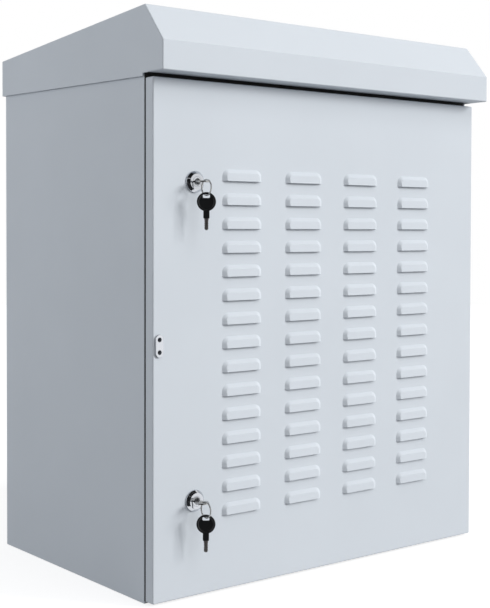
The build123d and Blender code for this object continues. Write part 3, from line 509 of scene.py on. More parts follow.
finishes = {
    # Polyester powder coat, sprayed and baked: satin, with a faint orange peel, drawn at 3 mm to show
    "cabinet_paint": {
        "name": "powder_coated_steel", "tone": "coat", "deep": "coat_deep", "patch": 160.0,
        "rough": (0.5, 0.6), "rough_patch": 50.0, "grain": 3.0, "relief": 0.02, "ior": 1.46,
    },
    # Electroplated zinc over rolled sheet: soft metal sheen with fine rolling lines along the length
    "zinc_steel": {
        "name": "zinc_plated_steel", "tone": "zinc", "share": 0.86, "patch": 30.0, "rough": (0.28, 0.42),
        "rough_patch": 12.0, "grain": 1.2, "relief": 0.01, "metal": 1.0, "stretch": (1, 1, 0.2),
    },
    # Bright chrome on a zinc die casting: mirror-like, with faint polishing haze
    "lock_chrome": {
        "name": "chrome_plated_zinc", "tone": "chrome", "share": 0.94, "patch": 8.0, "rough": (0.06, 0.14),
        "rough_patch": 4.0, "grain": 2.0, "relief": 0.002, "metal": 1.0,
    },
    # Nickel plate on stamped brass: a soft shine, rubbed by handling
    "key_nickel": {
        "name": "nickel_plated_brass", "tone": "nickel", "share": 0.82, "patch": 5.0, "rough": (0.2, 0.36),
        "rough_patch": 3.0, "grain": 0.6, "relief": 0.006, "metal": 1.0,
    },
    # Milled and tarnished nickel silver of the spare blades: darker and duller than the plated keys
    "key_blade": {
        "name": "tarnished_nickel_silver", "tone": "blade", "share": 0.7, "patch": 4.0, "rough": (0.4, 0.55),
        "rough_patch": 2.0, "grain": 0.6, "relief": 0.006, "metal": 1.0,
    },
    # Black moulded plastic: half gloss, with the fine spark-eroded grain of its mould
    "key_plastic": {
        "name": "moulded_black_plastic", "tone": "plastic", "share": 1.3, "patch": 6.0, "rough": (0.26, 0.36),
        "rough_patch": 4.0, "grain": 0.5, "relief": 0.006, "ior": 1.5,
    },
    # Extruded rubber: matt, with a dusty bloom. On the buffer strip its darkness is painted shade in the door
    # gap
    "seal_rubber": {
        "name": "extruded_rubber", "tone": "rubber", "share": 1.5, "patch": 30.0, "rough": (0.7, 0.85),
        "rough_patch": 20.0, "grain": 1.2, "relief": 0.04, "ior": 1.52,
    },
    # Needled polyester fleece: pale matted fibres, 2 mm across their tufts
    "filter_fleece": {
        "name": "needled_fleece", "tone": "fleece", "share": 0.84, "patch": 4.0, "rough": (0.92, 1.0),
        "rough_patch": 10.0, "grain": 2.0, "relief": 0.6, "stretch": (1, 1, 0.55),
    },
    # Turned brass: warm metal under a thin brown film
    "earth_brass": {
        "name": "turned_brass", "tone": "brass", "share": 0.8, "patch": 6.0, "rough": (0.24, 0.38),
        "rough_patch": 4.0, "grain": 0.6, "relief": 0.006, "metal": 1.0,
    },
}
materials = {}


class CABINET_OT_finish_nodes(bpy.types.Operator):
    """Give every CAD node the material of its slot"""

    bl_idname = "cabinet.finish_nodes"
    bl_label = "Finish the frame"

    def execute(self, context):
        colours = context.scene.cabinet_colours
        materials.update({slot: mottled(colours, **finish) for slot, finish in finishes.items()})
        for subpart in frame["record"]["subparts"]:
            node = frame["nodes"][subpart["node"]]
            node.data.materials.clear()
            node.data.materials.append(materials[subpart["material_slot"]])
        return {"FINISHED"}


def louvre_profile(sizes, depth):
    """Distance inwards from the louvre's outline, and height, at each of a row of depths.

    Both run over the foot arc, the straight slope and the shoulder arc, which ends at the depth.
    """
    turn = np.linspace(0, sizes.slope, 5)[:, None]
    ramp = depth / math.tan(sizes.slope)
    foot_run = sizes.foot * math.tan(sizes.slope / 2)
    shoulder_run = sizes.shoulder * math.tan(sizes.slope / 2)
    foot_in = np.repeat(sizes.foot * np.sin(turn) - foot_run, len(depth), axis=1)
    foot_up = np.repeat(sizes.foot * (1 - np.cos(turn)), len(depth), axis=1)
    shoulder_in = ramp + shoulder_run - sizes.shoulder * np.sin(turn[::-1])
    shoulder_up = depth - sizes.shoulder * (1 - np.cos(turn[::-1]))
    return np.concatenate((foot_in, shoulder_in)), np.concatenate((foot_up, shoulder_up))


def louvre_cell(sizes):
    """One louvre with the flat sheet around it, as two grids of across, up and height.

    The upper grid runs along the outline and, across it, from the cell's edge over the profile to the open
    lower edge. A point lies at its place on a core line, plus the corner radius less the profile's inward
    distance along the direction outwards. The lower grid is the flat strip under the open edge.
    """
    half = sizes.louvre_length / 2 - sizes.corner
    side_top = sizes.louvre_height - sizes.corner
    spare = (sizes.pitch_z - sizes.louvre_height) / 2
    half_pitch = sizes.pitch_x / 2
    cell_top = sizes.louvre_height + spare
    side_steps = 2
    corner_steps = 6
    top_steps = 6
    side = np.linspace(0, side_top, side_steps + 1)[:-1]
    top = np.linspace(-half, half, top_steps + 1)[1:-1]
    corner_turn = np.linspace(math.pi, quarter_turn, corner_steps + 1)
    base_left = together(-half, side)
    corner = np.repeat([[-half, side_top]], corner_steps + 1, axis=0)
    base_top = together(top, side_top)
    mirror = np.array((-1, 1))
    base = np.concatenate((base_left, corner, base_top, corner[::-1] * mirror, base_left[::-1] * mirror))
    out_left = np.repeat([[-1.0, 0.0]], side_steps, axis=0)
    out_corner = together(np.cos(corner_turn), np.sin(corner_turn))
    out_top = np.repeat([[0.0, 1.0]], len(top), axis=0)
    out = np.concatenate((out_left, out_corner, out_top, out_corner[::-1] * mirror, out_left * mirror))
    edge_side = side_steps + corner_steps // 2
    edge_top = 2 * (corner_steps // 2) + top_steps
    rise = np.linspace(0, cell_top, edge_side + 1)
    run = np.linspace(-half_pitch, half_pitch, edge_top + 1)
    edge_left = together(-half_pitch, rise[:-1])
    edge = np.concatenate((edge_left, together(run, cell_top), edge_left[::-1] * mirror))
    depth = np.full(len(base), sizes.louvre_depth)
    inward, height = louvre_profile(sizes, depth)
    shoulder_z = base[:, 1] + (sizes.corner - inward[-1]) * out[:, 1]
    inward, height = louvre_profile(sizes, depth - sizes.fall * shoulder_z / sizes.louvre_height)
    rings = base + (sizes.corner - inward[..., None]) * out
    middle_ring = (edge + rings[0]) / 2
    open_half = sizes.louvre_length / 2 - inward[-1, 0]
    open_edge = together(np.linspace(-open_half, open_half, len(base)), 0)
    flat = np.concatenate((edge[None], middle_ring[None], rings, open_edge[None]))
    heights = np.concatenate((np.zeros((2, len(base))), height, depth[None]))
    upper = np.concatenate((flat, heights[..., None]), axis=-1)
    foot_left = flat[:3, 0, 0]
    under = np.linspace(foot_left[-1], -foot_left[-1], edge_top - 3)[1:-1]
    strip_top = np.concatenate((foot_left, under, -foot_left[::-1]))
    drop = np.array((-spare, -spare / 2, 0))[:, None]
    share = (drop + spare) / spare
    across = run * (1 - share) + strip_top * share
    return upper, together(across, drop, 0), run, np.concatenate((drop[:, 0], rise[1:]))


def door_grids(sizes):
    """The door's outer surface: louvre cells, the flat sheet around them, and the folded rim.

    The rim is a profile of two bends, a wall and a return, carried around the door's outline.
    """
    low = np.array((door_low[0], door_low[2])) + sizes.bend
    high = np.array((door_high[0], door_high[2])) - sizes.bend
    front = door_low[1] + sizes.louvre_depth
    rear = door_high[1]
    upper, lower, run, rise = louvre_cell(sizes)
    columns = sizes.offset_x + (np.arange(sizes.columns) - (sizes.columns - 1) / 2) * sizes.pitch_x
    rows = sizes.lowest + np.arange(sizes.rows) * sizes.pitch_z
    grids = []
    for x in columns:
        for z in rows:
            for cell in (upper, lower):
                points = together(cell[..., 0] + x, front - cell[..., 2], cell[..., 1] + z)
                grids.append((points, False, False))
    field_x = np.concatenate((columns[:, None] + run[None, :-1]).tolist() + [[columns[-1] + run[-1]]])
    field_z = np.concatenate((rows[:, None] + rise[None, :-1]).tolist() + [[rows[-1] + rise[-1]]])
    left = np.linspace(low[0], field_x[0], 4)
    right = np.linspace(field_x[-1], high[0], 4)
    bottom = np.linspace(low[1], field_z[0], 4)
    top = np.linspace(field_z[-1], high[1], 4)
    lines_x = np.concatenate((left[:-1], field_x, right[1:]))
    lines_z = np.concatenate((bottom[:-1], field_z, top[1:]))
    for xs, zs in ((left, lines_z), (right, lines_z), (field_x, bottom), (field_x, top)):
        across, up = np.meshgrid(xs, zs)
        grids.append((together(across, front, up), False, False))
    turn = np.linspace(0, quarter_turn, 7)
    inner = turn[1:-1]
    sides = (
        (together(lines_x, low[1]), -quarter_turn),
        (together(high[0], lines_z), 0.0),
        (together(lines_x[::-1], high[1]), quarter_turn),
        (together(low[0], lines_z[::-1]), math.pi),
    )
    base = []
    angle = []
    for line, facing in sides:
        base.extend((line, np.repeat(line[-1:], len(inner), axis=0)))
        angle.extend((np.full(len(line), facing), facing + inner))
    base = np.concatenate(base)
    angle = np.concatenate(angle)
    out = together(np.cos(angle), np.sin(angle))
    round_in = sizes.bend * np.sin(turn)
    round_out = sizes.bend * np.cos(turn)
    reach = np.concatenate((round_in, round_out, [sizes.bend - sizes.turned_in]))
    depth = np.concatenate((front + sizes.bend - round_out, rear - sizes.bend + round_in, [rear]))
    middle = (low + high) / 2
    half = (high - low) / 2
    outside = base + np.maximum(reach, 0)[:, None, None] * out
    shrink = np.minimum(reach, 0)[:, None, None] * (base - middle) / half
    flat = outside + shrink
    grids.append((together(flat[..., 0], depth[:, None], flat[..., 1]), False, True))
    return grids, front, rear


class CABINET_OT_door_skin(bpy.types.Operator):
    """Press the louvred door skin, bore it for the locks and notch it at the hinges"""

    bl_idname = "cabinet.door_skin"
    bl_label = "Door skin"

    def execute(self, context):
        sizes = context.scene.cabinet_door
        locks = context.scene.cabinet_locks
        grids, front, rear = door_grids(sizes)
        deep = 4 * sizes.sheet
        cutters = []
        for box in lock_boxes.values():
            middle = box.mean(axis=0)
            bore = locks.barrel_radius + locks.clearance
            cutters.append(cut_cylinder(bore, (middle[0], front, middle[2]), deep))
        seal_middle = (seal_low + seal_high) / 2
        for end in (-1, 1):
            place = (seal_middle[0], front, seal_middle[2] + end * locks.seal_spacing / 2)
            cutters.append(cut_cylinder(locks.seal_hole, place, deep))
        leaf_low, leaf_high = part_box("hinge_door_leaves")
        for hinge_z in (leaf_low.z + sizes.leaf_height / 2, leaf_high.z - sizes.leaf_height / 2):
            outline = square_corners * (sizes.turned_in, sizes.notch_height / 2)
            place = (door_high[0], (front + sizes.sheet + rear) / 2 + sizes.sheet, hinge_z)
            thick = rear - front + sizes.sheet
            cutters.append(mesh_from("cut", [prism(outline, (0, 0), thick, place, face_axes)]))
        mesh = mesh_from("door", grids)
        wall = sizes.sheet
        nodes = ["door_skin"]
        add_piece("door_skin_pressed", mesh, "door", "cabinet_paint", nodes, wall=wall, cutters=cutters)
        return {"FINISHED"}


def inset_corners(points, amount):
    """Corners of an open path moved to its left by an amount, where each pair of moved lines meets."""
    points = np.array(points)
    run = np.diff(points, axis=0)
    run /= np.linalg.norm(run, axis=1, keepdims=True)
    out = together(run[:, 1], -run[:, 0])
    moved = points[:-1] - amount * out
    half = (out[:-1] + out[1:]) / (1 + np.sum(out[:-1] * out[1:], axis=1, keepdims=True))
    inner = points[1:-1] - amount * half
    first = moved[:1]
    last = points[-1:] - amount * out[-1:]
    return np.concatenate((first, inner, last)), out


class CABINET_OT_door_buffer_gap_shade(bpy.types.Operator):
    """Lay the foam buffer strip on the front frame

    Its outline is carried from the frame forwards and drawn in by a quarter circle at the front edge. Above
    the door its upper leg runs on to the hinge side. Its dark rubber is painted shade. It fills the view into
    the door gap and into the gap under the hood, so that these read black, as shadow would.
    """

    bl_idname = "cabinet.door_buffer"
    bl_label = "Door buffer"

    def execute(self, context):
        sizes = context.scene.cabinet_door
        left, front, foot = buffer_low
        right, rear, top = buffer_high
        wide = sizes.buffer_width
        # The upper leg runs on above the door so that the painted shade reaches the far end of the gap
        above = door_high[2] + sizes.buffer_gap
        outline = np.array(
            (
                (left, foot),
                (right, foot),
                (right, foot + wide),
                (left + wide, foot + wide),
                (left + wide, door_high[2] - wide),
                (right, door_high[2] - wide),
                (right, above),
                (-left, above),
                (-left, top),
                (left, top),
            )
        )
        run = np.roll(outline, -1, axis=0) - outline
        run /= np.linalg.norm(run, axis=1, keepdims=True)
        inward = together(-run[:, 1], run[:, 0])
        inward += np.roll(inward, 1, axis=0)
        turn = np.linspace(0, quarter_turn, 5)
        inset = np.concatenate(([0], sizes.buffer_edge * (1 - np.cos(turn))))
        depth = np.concatenate(([rear], front + sizes.buffer_edge * (1 - np.sin(turn))))
        flat = outline + inset[:, None, None] * inward
        strip = together(flat[..., 0], depth[:, None], flat[..., 1])
        mesh = mesh_from("buffer", [(strip, False, True)], [strip[0], strip[-1]])
        # Dark rubber laid in the door gap as painted shade
        add_piece("door_buffer_laid", mesh, "cabinet", "seal_rubber", ["door_buffer"])
        return {"FINISHED"}


class CABINET_OT_rain_hood(bpy.types.Operator):
    """Fold the rain hood from one sheet, with rounded bends

    Its section is carried across. A point is a corner of the section, set in by the bend radius, plus that
    radius along a direction that turns from one side's to the next. The ends roll over by the same radius.
    """

    bl_idname = "cabinet.rain_hood"
    bl_label = "Rain hood"

    def execute(self, context):
        sizes = context.scene.cabinet_hood
        front = hood_low[1]
        rear = hood_high[1]
        section = (
            (rear, sizes.rear_z),
            (rear, sizes.eave_z),
            (sizes.ridge_y, sizes.ridge_z),
            (front, sizes.bevel_z),
            (front, sizes.lip_z),
            (front + sizes.turned_in, sizes.lip_z),
        )
        corners, out = inset_corners(section, sizes.bend)
        base = [corners[:1]]
        facing = [out[:1]]
        turns = np.linspace(0, 1, 7)[:, None]
        for place in range(1, len(corners) - 1):
            base.append(np.repeat(corners[place : place + 1], len(turns), axis=0))
            start = math.atan2(*out[place - 1][::-1])
            sweep = math.atan2(*out[place][::-1]) - start
            sweep = (sweep + math.pi) % full_turn - math.pi
            angle = start + sweep * turns
            facing.append(np.concatenate((np.cos(angle), np.sin(angle)), axis=1))
        base = np.concatenate(base + [corners[-1:]])
        facing = np.concatenate(facing + [out[-1:]])
        turn = np.linspace(0, quarter_turn, 7)
        half = hood_high[0] - sizes.bend
        across = np.concatenate((-half - sizes.bend * np.cos(turn), half + sizes.bend * np.sin(turn)))
        lift = np.concatenate((sizes.bend * np.sin(turn), sizes.bend * np.cos(turn)))
        line = base + lift[:, None, None] * facing
        sheet = together(across[:, None], line[..., 0], line[..., 1])
        skirt = np.array(
            (
                (front + sizes.turned_in, sizes.lip_z),
                (sizes.step_y, sizes.lip_z),
                (sizes.step_y, hood_low[2]),
                (rear - sizes.bend, sizes.rear_z),
            )
        )
        wall = np.concatenate((base, skirt))
        outlines = [together(side * hood_high[0], wall[:, 0], wall[:, 1]) for side in (-1, 1)]
        mesh = mesh_from("hood", [(sheet, False, False)], outlines)
        add_piece("rain_hood_folded", mesh, "cabinet", "cabinet_paint", ["rain_hood"], wall=sizes.sheet)
        return {"FINISHED"}


class CABINET_OT_seal_plate(bpy.types.Operator):
    """Make the obround seal plate with its two holes"""

    bl_idname = "cabinet.seal_plate"
    bl_label = "Seal plate"

    def execute(self, context):
        sizes = context.scene.cabinet_locks
        size = seal_high - seal_low
        middle = (seal_low + seal_high) / 2
        outline = rounded_rectangle(size[0], size[2], size[0] / 2 - weld, 16)
        plate = slab(outline, np.zeros(2), size[1], sizes.edge, middle, face_axes)
        cutters = []
        for end in (-1, 1):
            place = middle + np.array((0, 0, end * sizes.seal_spacing / 2))
            cutters.append(cut_cylinder(sizes.seal_hole, place, 2 * size[1]))
        mesh = mesh_from("seal", [plate])
        add_piece("seal_plate_obround", mesh, "door", "lock_chrome", ["seal_plate"], cutters=cutters)
        return {"FINISHED"}


class CABINET_OT_locks(bpy.types.Operator):
    """Turn the lock barrels

    The head is a profile carried around the lock's axis. The thread is a cylinder whose radius dips by a
    cosine of depth over pitch plus turn, which winds around it.
    """

    bl_idname = "cabinet.locks"
    bl_label = "Lock barrels"

    def execute(self, context):
        sizes = context.scene.cabinet_locks
        edge = sizes.edge
        door = door_low[1] + context.scene.cabinet_door.louvre_depth
        for name, (low, high) in lock_boxes.items():
            front = low[1]
            rear = high[1]
            outer = (high[0] - low[0]) / 2
            axis = ((low[0] + high[0]) / 2, 0, (low[2] + high[2]) / 2)
            head = np.array(
                (
                    (sizes.bore, rear),
                    (sizes.bore, front + edge / 2),
                    (sizes.bore + edge / 2, front),
                    (sizes.face_radius - 2 * edge, front),
                    (sizes.face_radius - edge / 2, front + edge / 6),
                    (sizes.face_radius + edge / 2, front + edge),
                    (outer - edge, door - sizes.rim - edge / 2),
                    (outer - edge / 4, door - sizes.rim + edge / 2),
                    (outer, door - sizes.rim + 1.5 * edge),
                    (outer, door),
                    (sizes.barrel_radius, door),
                )
            )
            steps = 96
            rows = 130
            along = np.linspace(door, rear, rows)[:, None]
            turn = np.linspace(0, full_turn, steps, endpoint=False)[None, :]
            wave = (1 - np.cos(full_turn * along / sizes.thread_pitch + turn)) / 2
            radius = sizes.barrel_radius - sizes.thread_depth * wave
            thread = placed(radius * np.cos(turn), along, radius * np.sin(turn), axis, np.eye(3))
            whole = np.concatenate((revolved(head, axis, steps)[:-1], thread))
            mesh = mesh_from("barrel", [(whole, True, True)])
            add_piece(f"{name}_lock_barrel_turned", mesh, "door", "lock_chrome", [f"{name}_lock_barrel"])
        return {"FINISHED"}


def key_outline(sizes, face, bow_end):
    """Outline of the key in its lock, seen from above: bow circle, neck and blade."""
    bow = bow_end + sizes.bow_radius
    neck = sizes.neck_width / 2
    start = math.asin(neck / sizes.bow_radius)
    bow_arc = arc((0, bow), sizes.bow_radius, quarter_turn + start, quarter_turn - start + full_turn, 48)
    blade = sizes.blade_width / 2
    tip = face + sizes.blade_length
    point = sizes.blade_width / 4
    rest = np.array(
        (
            (neck, face - sizes.edge),
            (blade, face),
            (blade, tip - point),
            (blade - point, tip),
            (point - blade, tip),
            (-blade, tip - point),
            (-blade, face),
            (-neck, face - sizes.edge),
        )
    )
    return np.concatenate((bow_arc, rest))


class CABINET_OT_lock_plugs(bpy.types.Operator):
    """Sink a dish around the keyway of each lock plug

    The dish is a profile with a flat floor and a sloping side, carried around the lock's axis.
    """

    bl_idname = "cabinet.lock_plugs"
    bl_label = "Lock plugs"

    def execute(self, context):
        sizes = context.scene.cabinet_locks
        profile = np.array(
            (
                (0, sizes.dish_depth),
                (sizes.dish_floor, sizes.dish_depth),
                (sizes.dish_radius, 0),
                (sizes.dish_radius, -sizes.dish_depth),
                (0, -sizes.dish_depth),
            )
        )
        for name in lock_boxes:
            plug = f"{name}_lock_plug"
            low, high = (np.array(corner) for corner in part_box(plug))
            mesh = frame["nodes"][plug].data.copy()
            work = bmesh.new()
            work.from_mesh(mesh)
            bmesh.ops.remove_doubles(work, verts=work.verts, dist=weld)
            work.to_mesh(mesh)
            work.free()
            origin = ((low[0] + high[0]) / 2, lock_boxes[name][0][1], (low[2] + high[2]) / 2)
            cut = mesh_from("cut", [(revolved(profile, origin, 64), False, True)])
            add_piece(f"{plug}_dished", mesh, f"{name}_lock", "lock_chrome", [plug], cutters=[cut])
        return {"FINISHED"}


class CABINET_OT_keys(bpy.types.Operator):
    """Stamp the keys that stand in the locks"""

    bl_idname = "cabinet.keys"
    bl_label = "Keys in the locks"

    def execute(self, context):
        sizes = context.scene.cabinet_keys
        for name, (low, high) in lock_boxes.items():
            key_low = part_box(f"{name}_key")[0]
            face = low[1]
            hole = key_low.y + sizes.bridge + sizes.hole_radius
            outline = key_outline(sizes, face, key_low.y)
            origin = ((low[0] + high[0]) / 2, 0, (low[2] + high[2]) / 2)
            plate = slab(outline, np.array((0, hole)), sizes.thickness, sizes.edge, origin, level_axes)
            ring = circle((0, hole), sizes.hole_radius, 48)
            cut = mesh_from("cut", [prism(ring, (0, hole), 3 * sizes.thickness, origin, level_axes)])
            mesh = mesh_from("key", [plate])
            nodes = [f"{name}_key"]
            add_piece(f"{name}_key_stamped", mesh, f"{name}_lock", "key_nickel", nodes, cutters=[cut])
        return {"FINISHED"}


class CABINET_OT_key_rings(bpy.types.Operator):
    """Coil the split rings from flat wire

    A rounded section is carried along two turns of a circle, and steps aside between them.
    """

    bl_idname = "cabinet.key_rings"
    bl_label = "Key rings"

    def execute(self, context):
        sizes = context.scene.cabinet_keys
        section = rounded_rectangle(sizes.wire / 2, sizes.wire, sizes.wire / 5, 4)
        turn = np.linspace(sizes.ring_gap, 2 * full_turn - sizes.ring_gap, 160)
        share = np.clip((turn - full_turn) / sizes.ring_step + 0.5, 0, 1)
        slip = (share * share * (3 - 2 * share) - 0.5)[:, None] * sizes.wire / 2
        angle = (turn + quarter_turn / 2)[:, None]
        for name, box in ring_boxes.items():
            middle = box.mean(axis=0)
            radius = sizes.ring_radius + section[None, :, 1]
            along = radius * np.cos(angle)
            up = radius * np.sin(angle)
            coil = placed(slip + section[None, :, 0], along, up, middle, np.eye(3))
            mesh = mesh_from("ring", [capped(coil)])
            add_piece(f"{name}_key_ring_coiled", mesh, f"{name}_ring", "key_nickel", [f"{name}_key_ring"])
        return {"FINISHED"}


class CABINET_OT_spare_keys(bpy.types.Operator):
    """Mould the spare keys' heads and mill their blades

    A head is a dished profile carried around its own axis, joined to a flat neck and cut for the ring.
    """

    bl_idname = "cabinet.spare_keys"
    bl_label = "Spare keys"

    def execute(self, context):
        sizes = context.scene.cabinet_keys
        cosine, sine = math.cos(sizes.turn), math.sin(sizes.turn)
        axes = ((cosine, -sine, 0), (0, 0, 1), (-sine, -cosine, 0))
        for name, (low, high) in ring_boxes.items():
            pivot = np.array(((low[0] + high[0]) / 2, (low[1] + high[1]) / 2, low[2] + sizes.wire / 2))
            thick = sizes.head_thickness / 2
            outer = sizes.head_radius
            bow = sizes.head_top - outer
            edge = sizes.head_edge
            dish = sizes.head_dish
            rim = sizes.head_rim
            profile = np.array(
                (
                    (0, thick - dish),
                    (outer - rim - edge, thick - dish),
                    (outer - rim, thick - dish / 2),
                    (outer - rim + edge / 2, thick),
                    (outer - edge, thick),
                    (outer - edge / 4, thick - edge / 4),
                    (outer, thick - edge),
                )
            )
            profile = np.concatenate((profile, profile[::-1] * (1, -1)))
            turn = np.linspace(0, full_turn, 64, endpoint=False)
            radius = profile[:, :1]
            disc = placed(radius * np.cos(turn), bow + radius * np.sin(turn), profile[:, 1:], pivot, axes)
            neck_end = bow - outer - sizes.head_neck_length
            neck_height = sizes.head_neck_length + rim
            neck_outline = rounded_rectangle(sizes.head_neck_width, neck_height, sizes.head_neck_corner)
            neck_middle = np.array((0, neck_end + neck_height / 2))
            neck_thickness = sizes.head_thickness * neck_share
            neck = slab(neck_outline + neck_middle, neck_middle, neck_thickness, edge, pivot, axes)
            hole_middle = np.array((0, sizes.head_top - sizes.head_bridge - sizes.head_hole_height / 2))
            hole = rounded_rectangle(sizes.head_hole_width, sizes.head_hole_height, sizes.head_hole_corner)
            through = prism(hole + hole_middle, hole_middle, 3 * sizes.head_thickness, pivot, axes)
            body = f"{name}_spare_key"
            add_piece(
                f"{body}_head_moulded", mesh_from("head", [(disc, False, True)]), body, "key_plastic",
                [f"{body}_head"], joined=[mesh_from("neck", [neck])], cutters=[mesh_from("cut", [through])],
            )
            mesh = mesh_from("blade", [self.blade(sizes, neck_end, pivot, axes)])
            add_piece(f"{body}_blade_milled", mesh, body, "key_nickel", [f"{body}_blade"], finish="key_blade")
        return {"FINISHED"}

    def blade(self, sizes, start, origin, axes):
        """A grooved section carried down the blade, its width following the cuts along both edges."""
        down = np.linspace(-sizes.spare_root, sizes.spare_length, 120)
        half = sizes.blade_width / 2
        wave = (1 - np.cos(full_turn * down / sizes.cut_pitch)) / 2
        cuts = sizes.cut_depth * wave * (down > sizes.cut_start)
        tip = np.clip((sizes.spare_length - down) / sizes.tip, 0, 1)
        width = (half - cuts) * np.sqrt(1 - (1 - tip) ** 2)
        groove = sizes.groove
        floor = groove * groove_floor_share
        thick = sizes.thickness / 2
        brow = thick * blade_brow_share
        deep = thick - sizes.groove_depth
        flat = blade_flat_share
        across_share = np.array((-1, -1, -flat, 0, 0, 0, 0, flat, 1, 1))
        fixed = np.array((0, 0, 0, -groove, -floor, floor, groove, 0, 0, 0))
        rise = np.array((0, brow, thick, thick, deep, deep, thick, thick, brow, 0))
        share = np.concatenate((across_share, across_share[-2:0:-1]))
        still = np.concatenate((fixed, fixed[-2:0:-1]))
        tall = np.concatenate((rise, -rise[-2:0:-1]))
        fade = np.minimum(1, width / half * 2)[:, None]
        across = width[:, None] * share + still * fade
        return capped(placed(across, start - down[:, None], tall * fade, origin, axes))


class CABINET_OT_stage(bpy.types.Operator):
    """Set the camera, the soft studio light and the pale floor"""

    bl_idname = "cabinet.stage"
    bl_label = "Stage"

    def execute(self, context):
        stage = context.scene.cabinet_stage
        scene = context.scene
        view = bpy.data.cameras.new("camera")
        view.sensor_fit = "VERTICAL"
        view.lens = stage.focal_pixels / picture[1] * view.sensor_height
        view.shift_x = (picture[0] / 2 - stage.middle[0]) / picture[1]
        view.shift_y = (stage.middle[1] - picture[1] / 2) / picture[1]
        camera = bpy.data.objects.new("camera", view)
        scene.collection.objects.link(camera)
        look = np.array(
            (
                math.sin(stage.yaw) * math.cos(stage.pitch),
                math.cos(stage.yaw) * math.cos(stage.pitch),
                -math.sin(stage.pitch),
            )
        )
        right = np.cross(look, (0, 0, 1))
        right /= np.linalg.norm(right)
        up = np.cross(right, look)
        cosine, sine = math.cos(stage.roll), math.sin(stage.roll)
        turned = np.eye(4)
        turned[:3, 0] = cosine * right + sine * up
        turned[:3, 1] = cosine * up - sine * right
        turned[:3, 2] = -look
        turned[:3, 3] = stage.eye
        camera.matrix_world = Matrix(turned.tolist())
        scene.camera = camera
        scene.view_settings.view_transform = "Standard"
        target = np.array((0, door_low[1], (door_low[2] + door_high[2]) / 2))
        for name in ("key", "top", "fill", "side"):
            self.lamp(name, stage, target)
        self.sky(scene, stage)
        self.floor(stage)
        away = -look * (1, 1, 0)
        upright = np.array((0, 0, 1.0))
        half = right * stage.card_half
        behind = target + stage.card_away * away
        self.card("dark_card", stage.dark_card, behind, half, stage.card_rise * upright)
        ceiling = target + stage.ceiling_away * away + stage.ceiling_rise * upright
        self.card("dark_ceiling", stage.dark_card, ceiling, half, stage.ceiling_half * away)
        ground = target * (1, 1, 0) + stage.ground_away * away - stage.ground_aside * right
        self.card("dark_ground", stage.dark_card, ground, stage.ground_half * right, stage.ground_deep * away)
        return {"FINISHED"}

    def lamp(self, name, stage, target):
        """A square soft box at its place, turned to a target; bright metal doesn't mirror the key light."""
        light = bpy.data.lights.new(f"{name}_light", "AREA")
        light.energy = getattr(stage, f"{name}_power")
        light.size = getattr(stage, f"{name}_size")
        light.color = getattr(stage, f"{name}_tint")
        lamp = bpy.data.objects.new(f"{name}_light", light)
        bpy.context.scene.collection.objects.link(lamp)
        lamp.visible_glossy = name != "key"
        place = Vector(getattr(stage, f"{name}_place"))
        away = place - Vector(target)
        lamp.matrix_world = Matrix.Translation(place) @ away.to_track_quat("Z", "Y").to_matrix().to_4x4()

    def sky(self, scene, stage):
        """Even light all round, and plain white where the camera, gloss or glass sees it."""
        world = bpy.data.worlds.new("studio")
        scene.world = world
        world.use_nodes = True
        tree = world.node_tree
        tree.nodes.clear()
        path = add_node(tree, "ShaderNodeLightPath", {})
        either = {0: path.outputs["Is Camera Ray"], 1: path.outputs["Is Transmission Ray"]}
        seen = add_node(tree, "ShaderNodeMath", either, operation="MAXIMUM")
        either = {0: seen.outputs[0], 1: path.outputs["Is Glossy Ray"]}
        seen = add_node(tree, "ShaderNodeMath", either, operation="MAXIMUM")
        even = add_node(tree, "ShaderNodeBackground", {"Color": (1, 1, 1, 1), "Strength": stage.sky})
        white = add_node(tree, "ShaderNodeBackground", {"Color": (1, 1, 1, 1), "Strength": 1.0})
        lights = {0: seen.outputs[0], 1: even.outputs["Background"], 2: white.outputs["Background"]}
        mix = add_node(tree, "ShaderNodeMixShader", lights)
        add_node(tree, "ShaderNodeOutputWorld", {"Surface": mix.outputs["Shader"]})

    def floor(self, stage):
        """A round floor that takes the shadow and lights up to white where the camera sees it bare."""
        steps = 64
        ring = circle((0, 0), stage.floor_radius, steps)
        outline = together(ring[:, 0], ring[:, 1], -stage.floor_drop)
        mesh = mesh_from("floor", [], [outline])
        ground = linked("floor", mesh)
        made = bpy.data.materials.new("pale_floor")
        made.use_nodes = True
        tree = made.node_tree
        shade = tree.nodes["Principled BSDF"]
        place = add_node(tree, "ShaderNodeTexCoord", {}).outputs["Object"]
        pattern = {"Vector": place, "Scale": 1 / stage.floor_grain, "Detail": 3.0}
        grain = add_node(tree, "ShaderNodeTexNoise", pattern)
        limits = {"Value": grain.outputs["Fac"], "To Min": 0.8, "To Max": 0.95}
        gloss = add_node(tree, "ShaderNodeMapRange", limits)
        tree.links.new(gloss.outputs["Result"], shade.inputs["Roughness"])
        shade.inputs["Base Color"].default_value = (*stage.floor, 1.0)
        path = add_node(tree, "ShaderNodeLightPath", {})
        either = {0: path.outputs["Is Camera Ray"], 1: path.outputs["Is Glossy Ray"]}
        seen = add_node(tree, "ShaderNodeMath", either, operation="MAXIMUM")
        strength = {0: seen.outputs[0], 1: stage.floor_glow}
        lift = add_node(tree, "ShaderNodeMath", strength, operation="MULTIPLY")
        shade.inputs["Emission Color"].default_value = (1, 1, 1, 1)
        tree.links.new(lift.outputs[0], shade.inputs["Emission Strength"])
        mesh.materials.append(made)

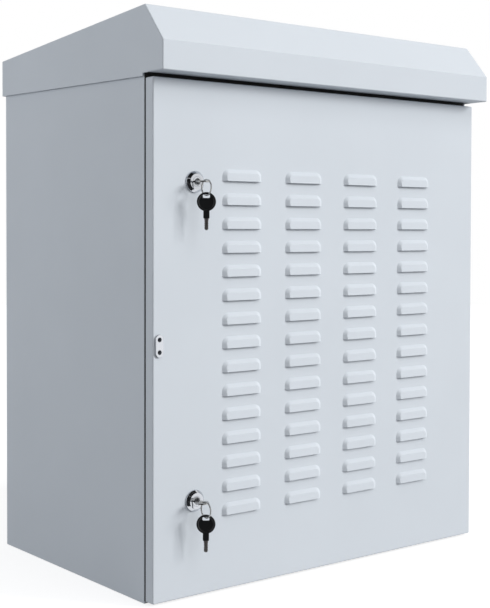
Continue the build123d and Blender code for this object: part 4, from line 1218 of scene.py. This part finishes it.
    def card(self, name, tone, place, half_side, half_rise):
        """A flat card, seen only in mirrored light: its middle plus or minus two half edges."""
        outline = place + square_corners[:, :1] * half_side + square_corners[:, 1:] * half_rise
        board = linked(name, mesh_from(name, [], [outline]))
        board.visible_camera = False
        board.visible_diffuse = False
        board.visible_shadow = False
        made = bpy.data.materials.new(name)
        made.use_nodes = True
        shade = made.node_tree.nodes["Principled BSDF"]
        shade.inputs["Base Color"].default_value = (*tone, 1.0)
        shade.inputs["Roughness"].default_value = 0.9
        board.data.materials.append(made)


class CABINET_PT_sidebar(bpy.types.Panel):
    """Lists the cabinet's operators"""

    bl_idname = "CABINET_PT_sidebar"
    bl_label = "Utility cabinet"
    bl_space_type = "VIEW_3D"
    bl_region_type = "UI"
    bl_category = "Cabinet"

    def draw(self, context):
        for operator in operators:
            self.layout.operator(operator.bl_idname)


operators = (
    CABINET_OT_finish_nodes,
    CABINET_OT_door_skin,
    CABINET_OT_door_buffer_gap_shade,
    CABINET_OT_rain_hood,
    CABINET_OT_seal_plate,
    CABINET_OT_locks,
    CABINET_OT_lock_plugs,
    CABINET_OT_keys,
    CABINET_OT_key_rings,
    CABINET_OT_spare_keys,
    CABINET_OT_stage,
)
groups = {
    "cabinet_colours": CabinetColours,
    "cabinet_door": DoorSizes,
    "cabinet_hood": HoodSizes,
    "cabinet_locks": LockSizes,
    "cabinet_keys": KeySizes,
    "cabinet_stage": StageSettings,
}


def register():
    """Registers the settings, the operators and the panel."""
    for name, group in groups.items():
        bpy.utils.register_class(group)
        setattr(bpy.types.Scene, name, PointerProperty(type=group))
    for operator in operators:
        bpy.utils.register_class(operator)
    bpy.utils.register_class(CABINET_PT_sidebar)


def unregister():
    """Takes them out again."""
    bpy.utils.unregister_class(CABINET_PT_sidebar)
    for operator in reversed(operators):
        bpy.utils.unregister_class(operator)
    for name, group in reversed(list(groups.items())):
        delattr(bpy.types.Scene, name)
        bpy.utils.unregister_class(group)


def main():
    register()
    for operator in operators:
        area, name = operator.bl_idname.split(".")
        getattr(getattr(bpy.ops, area), name)()


if __name__ == "__main__":
    main()
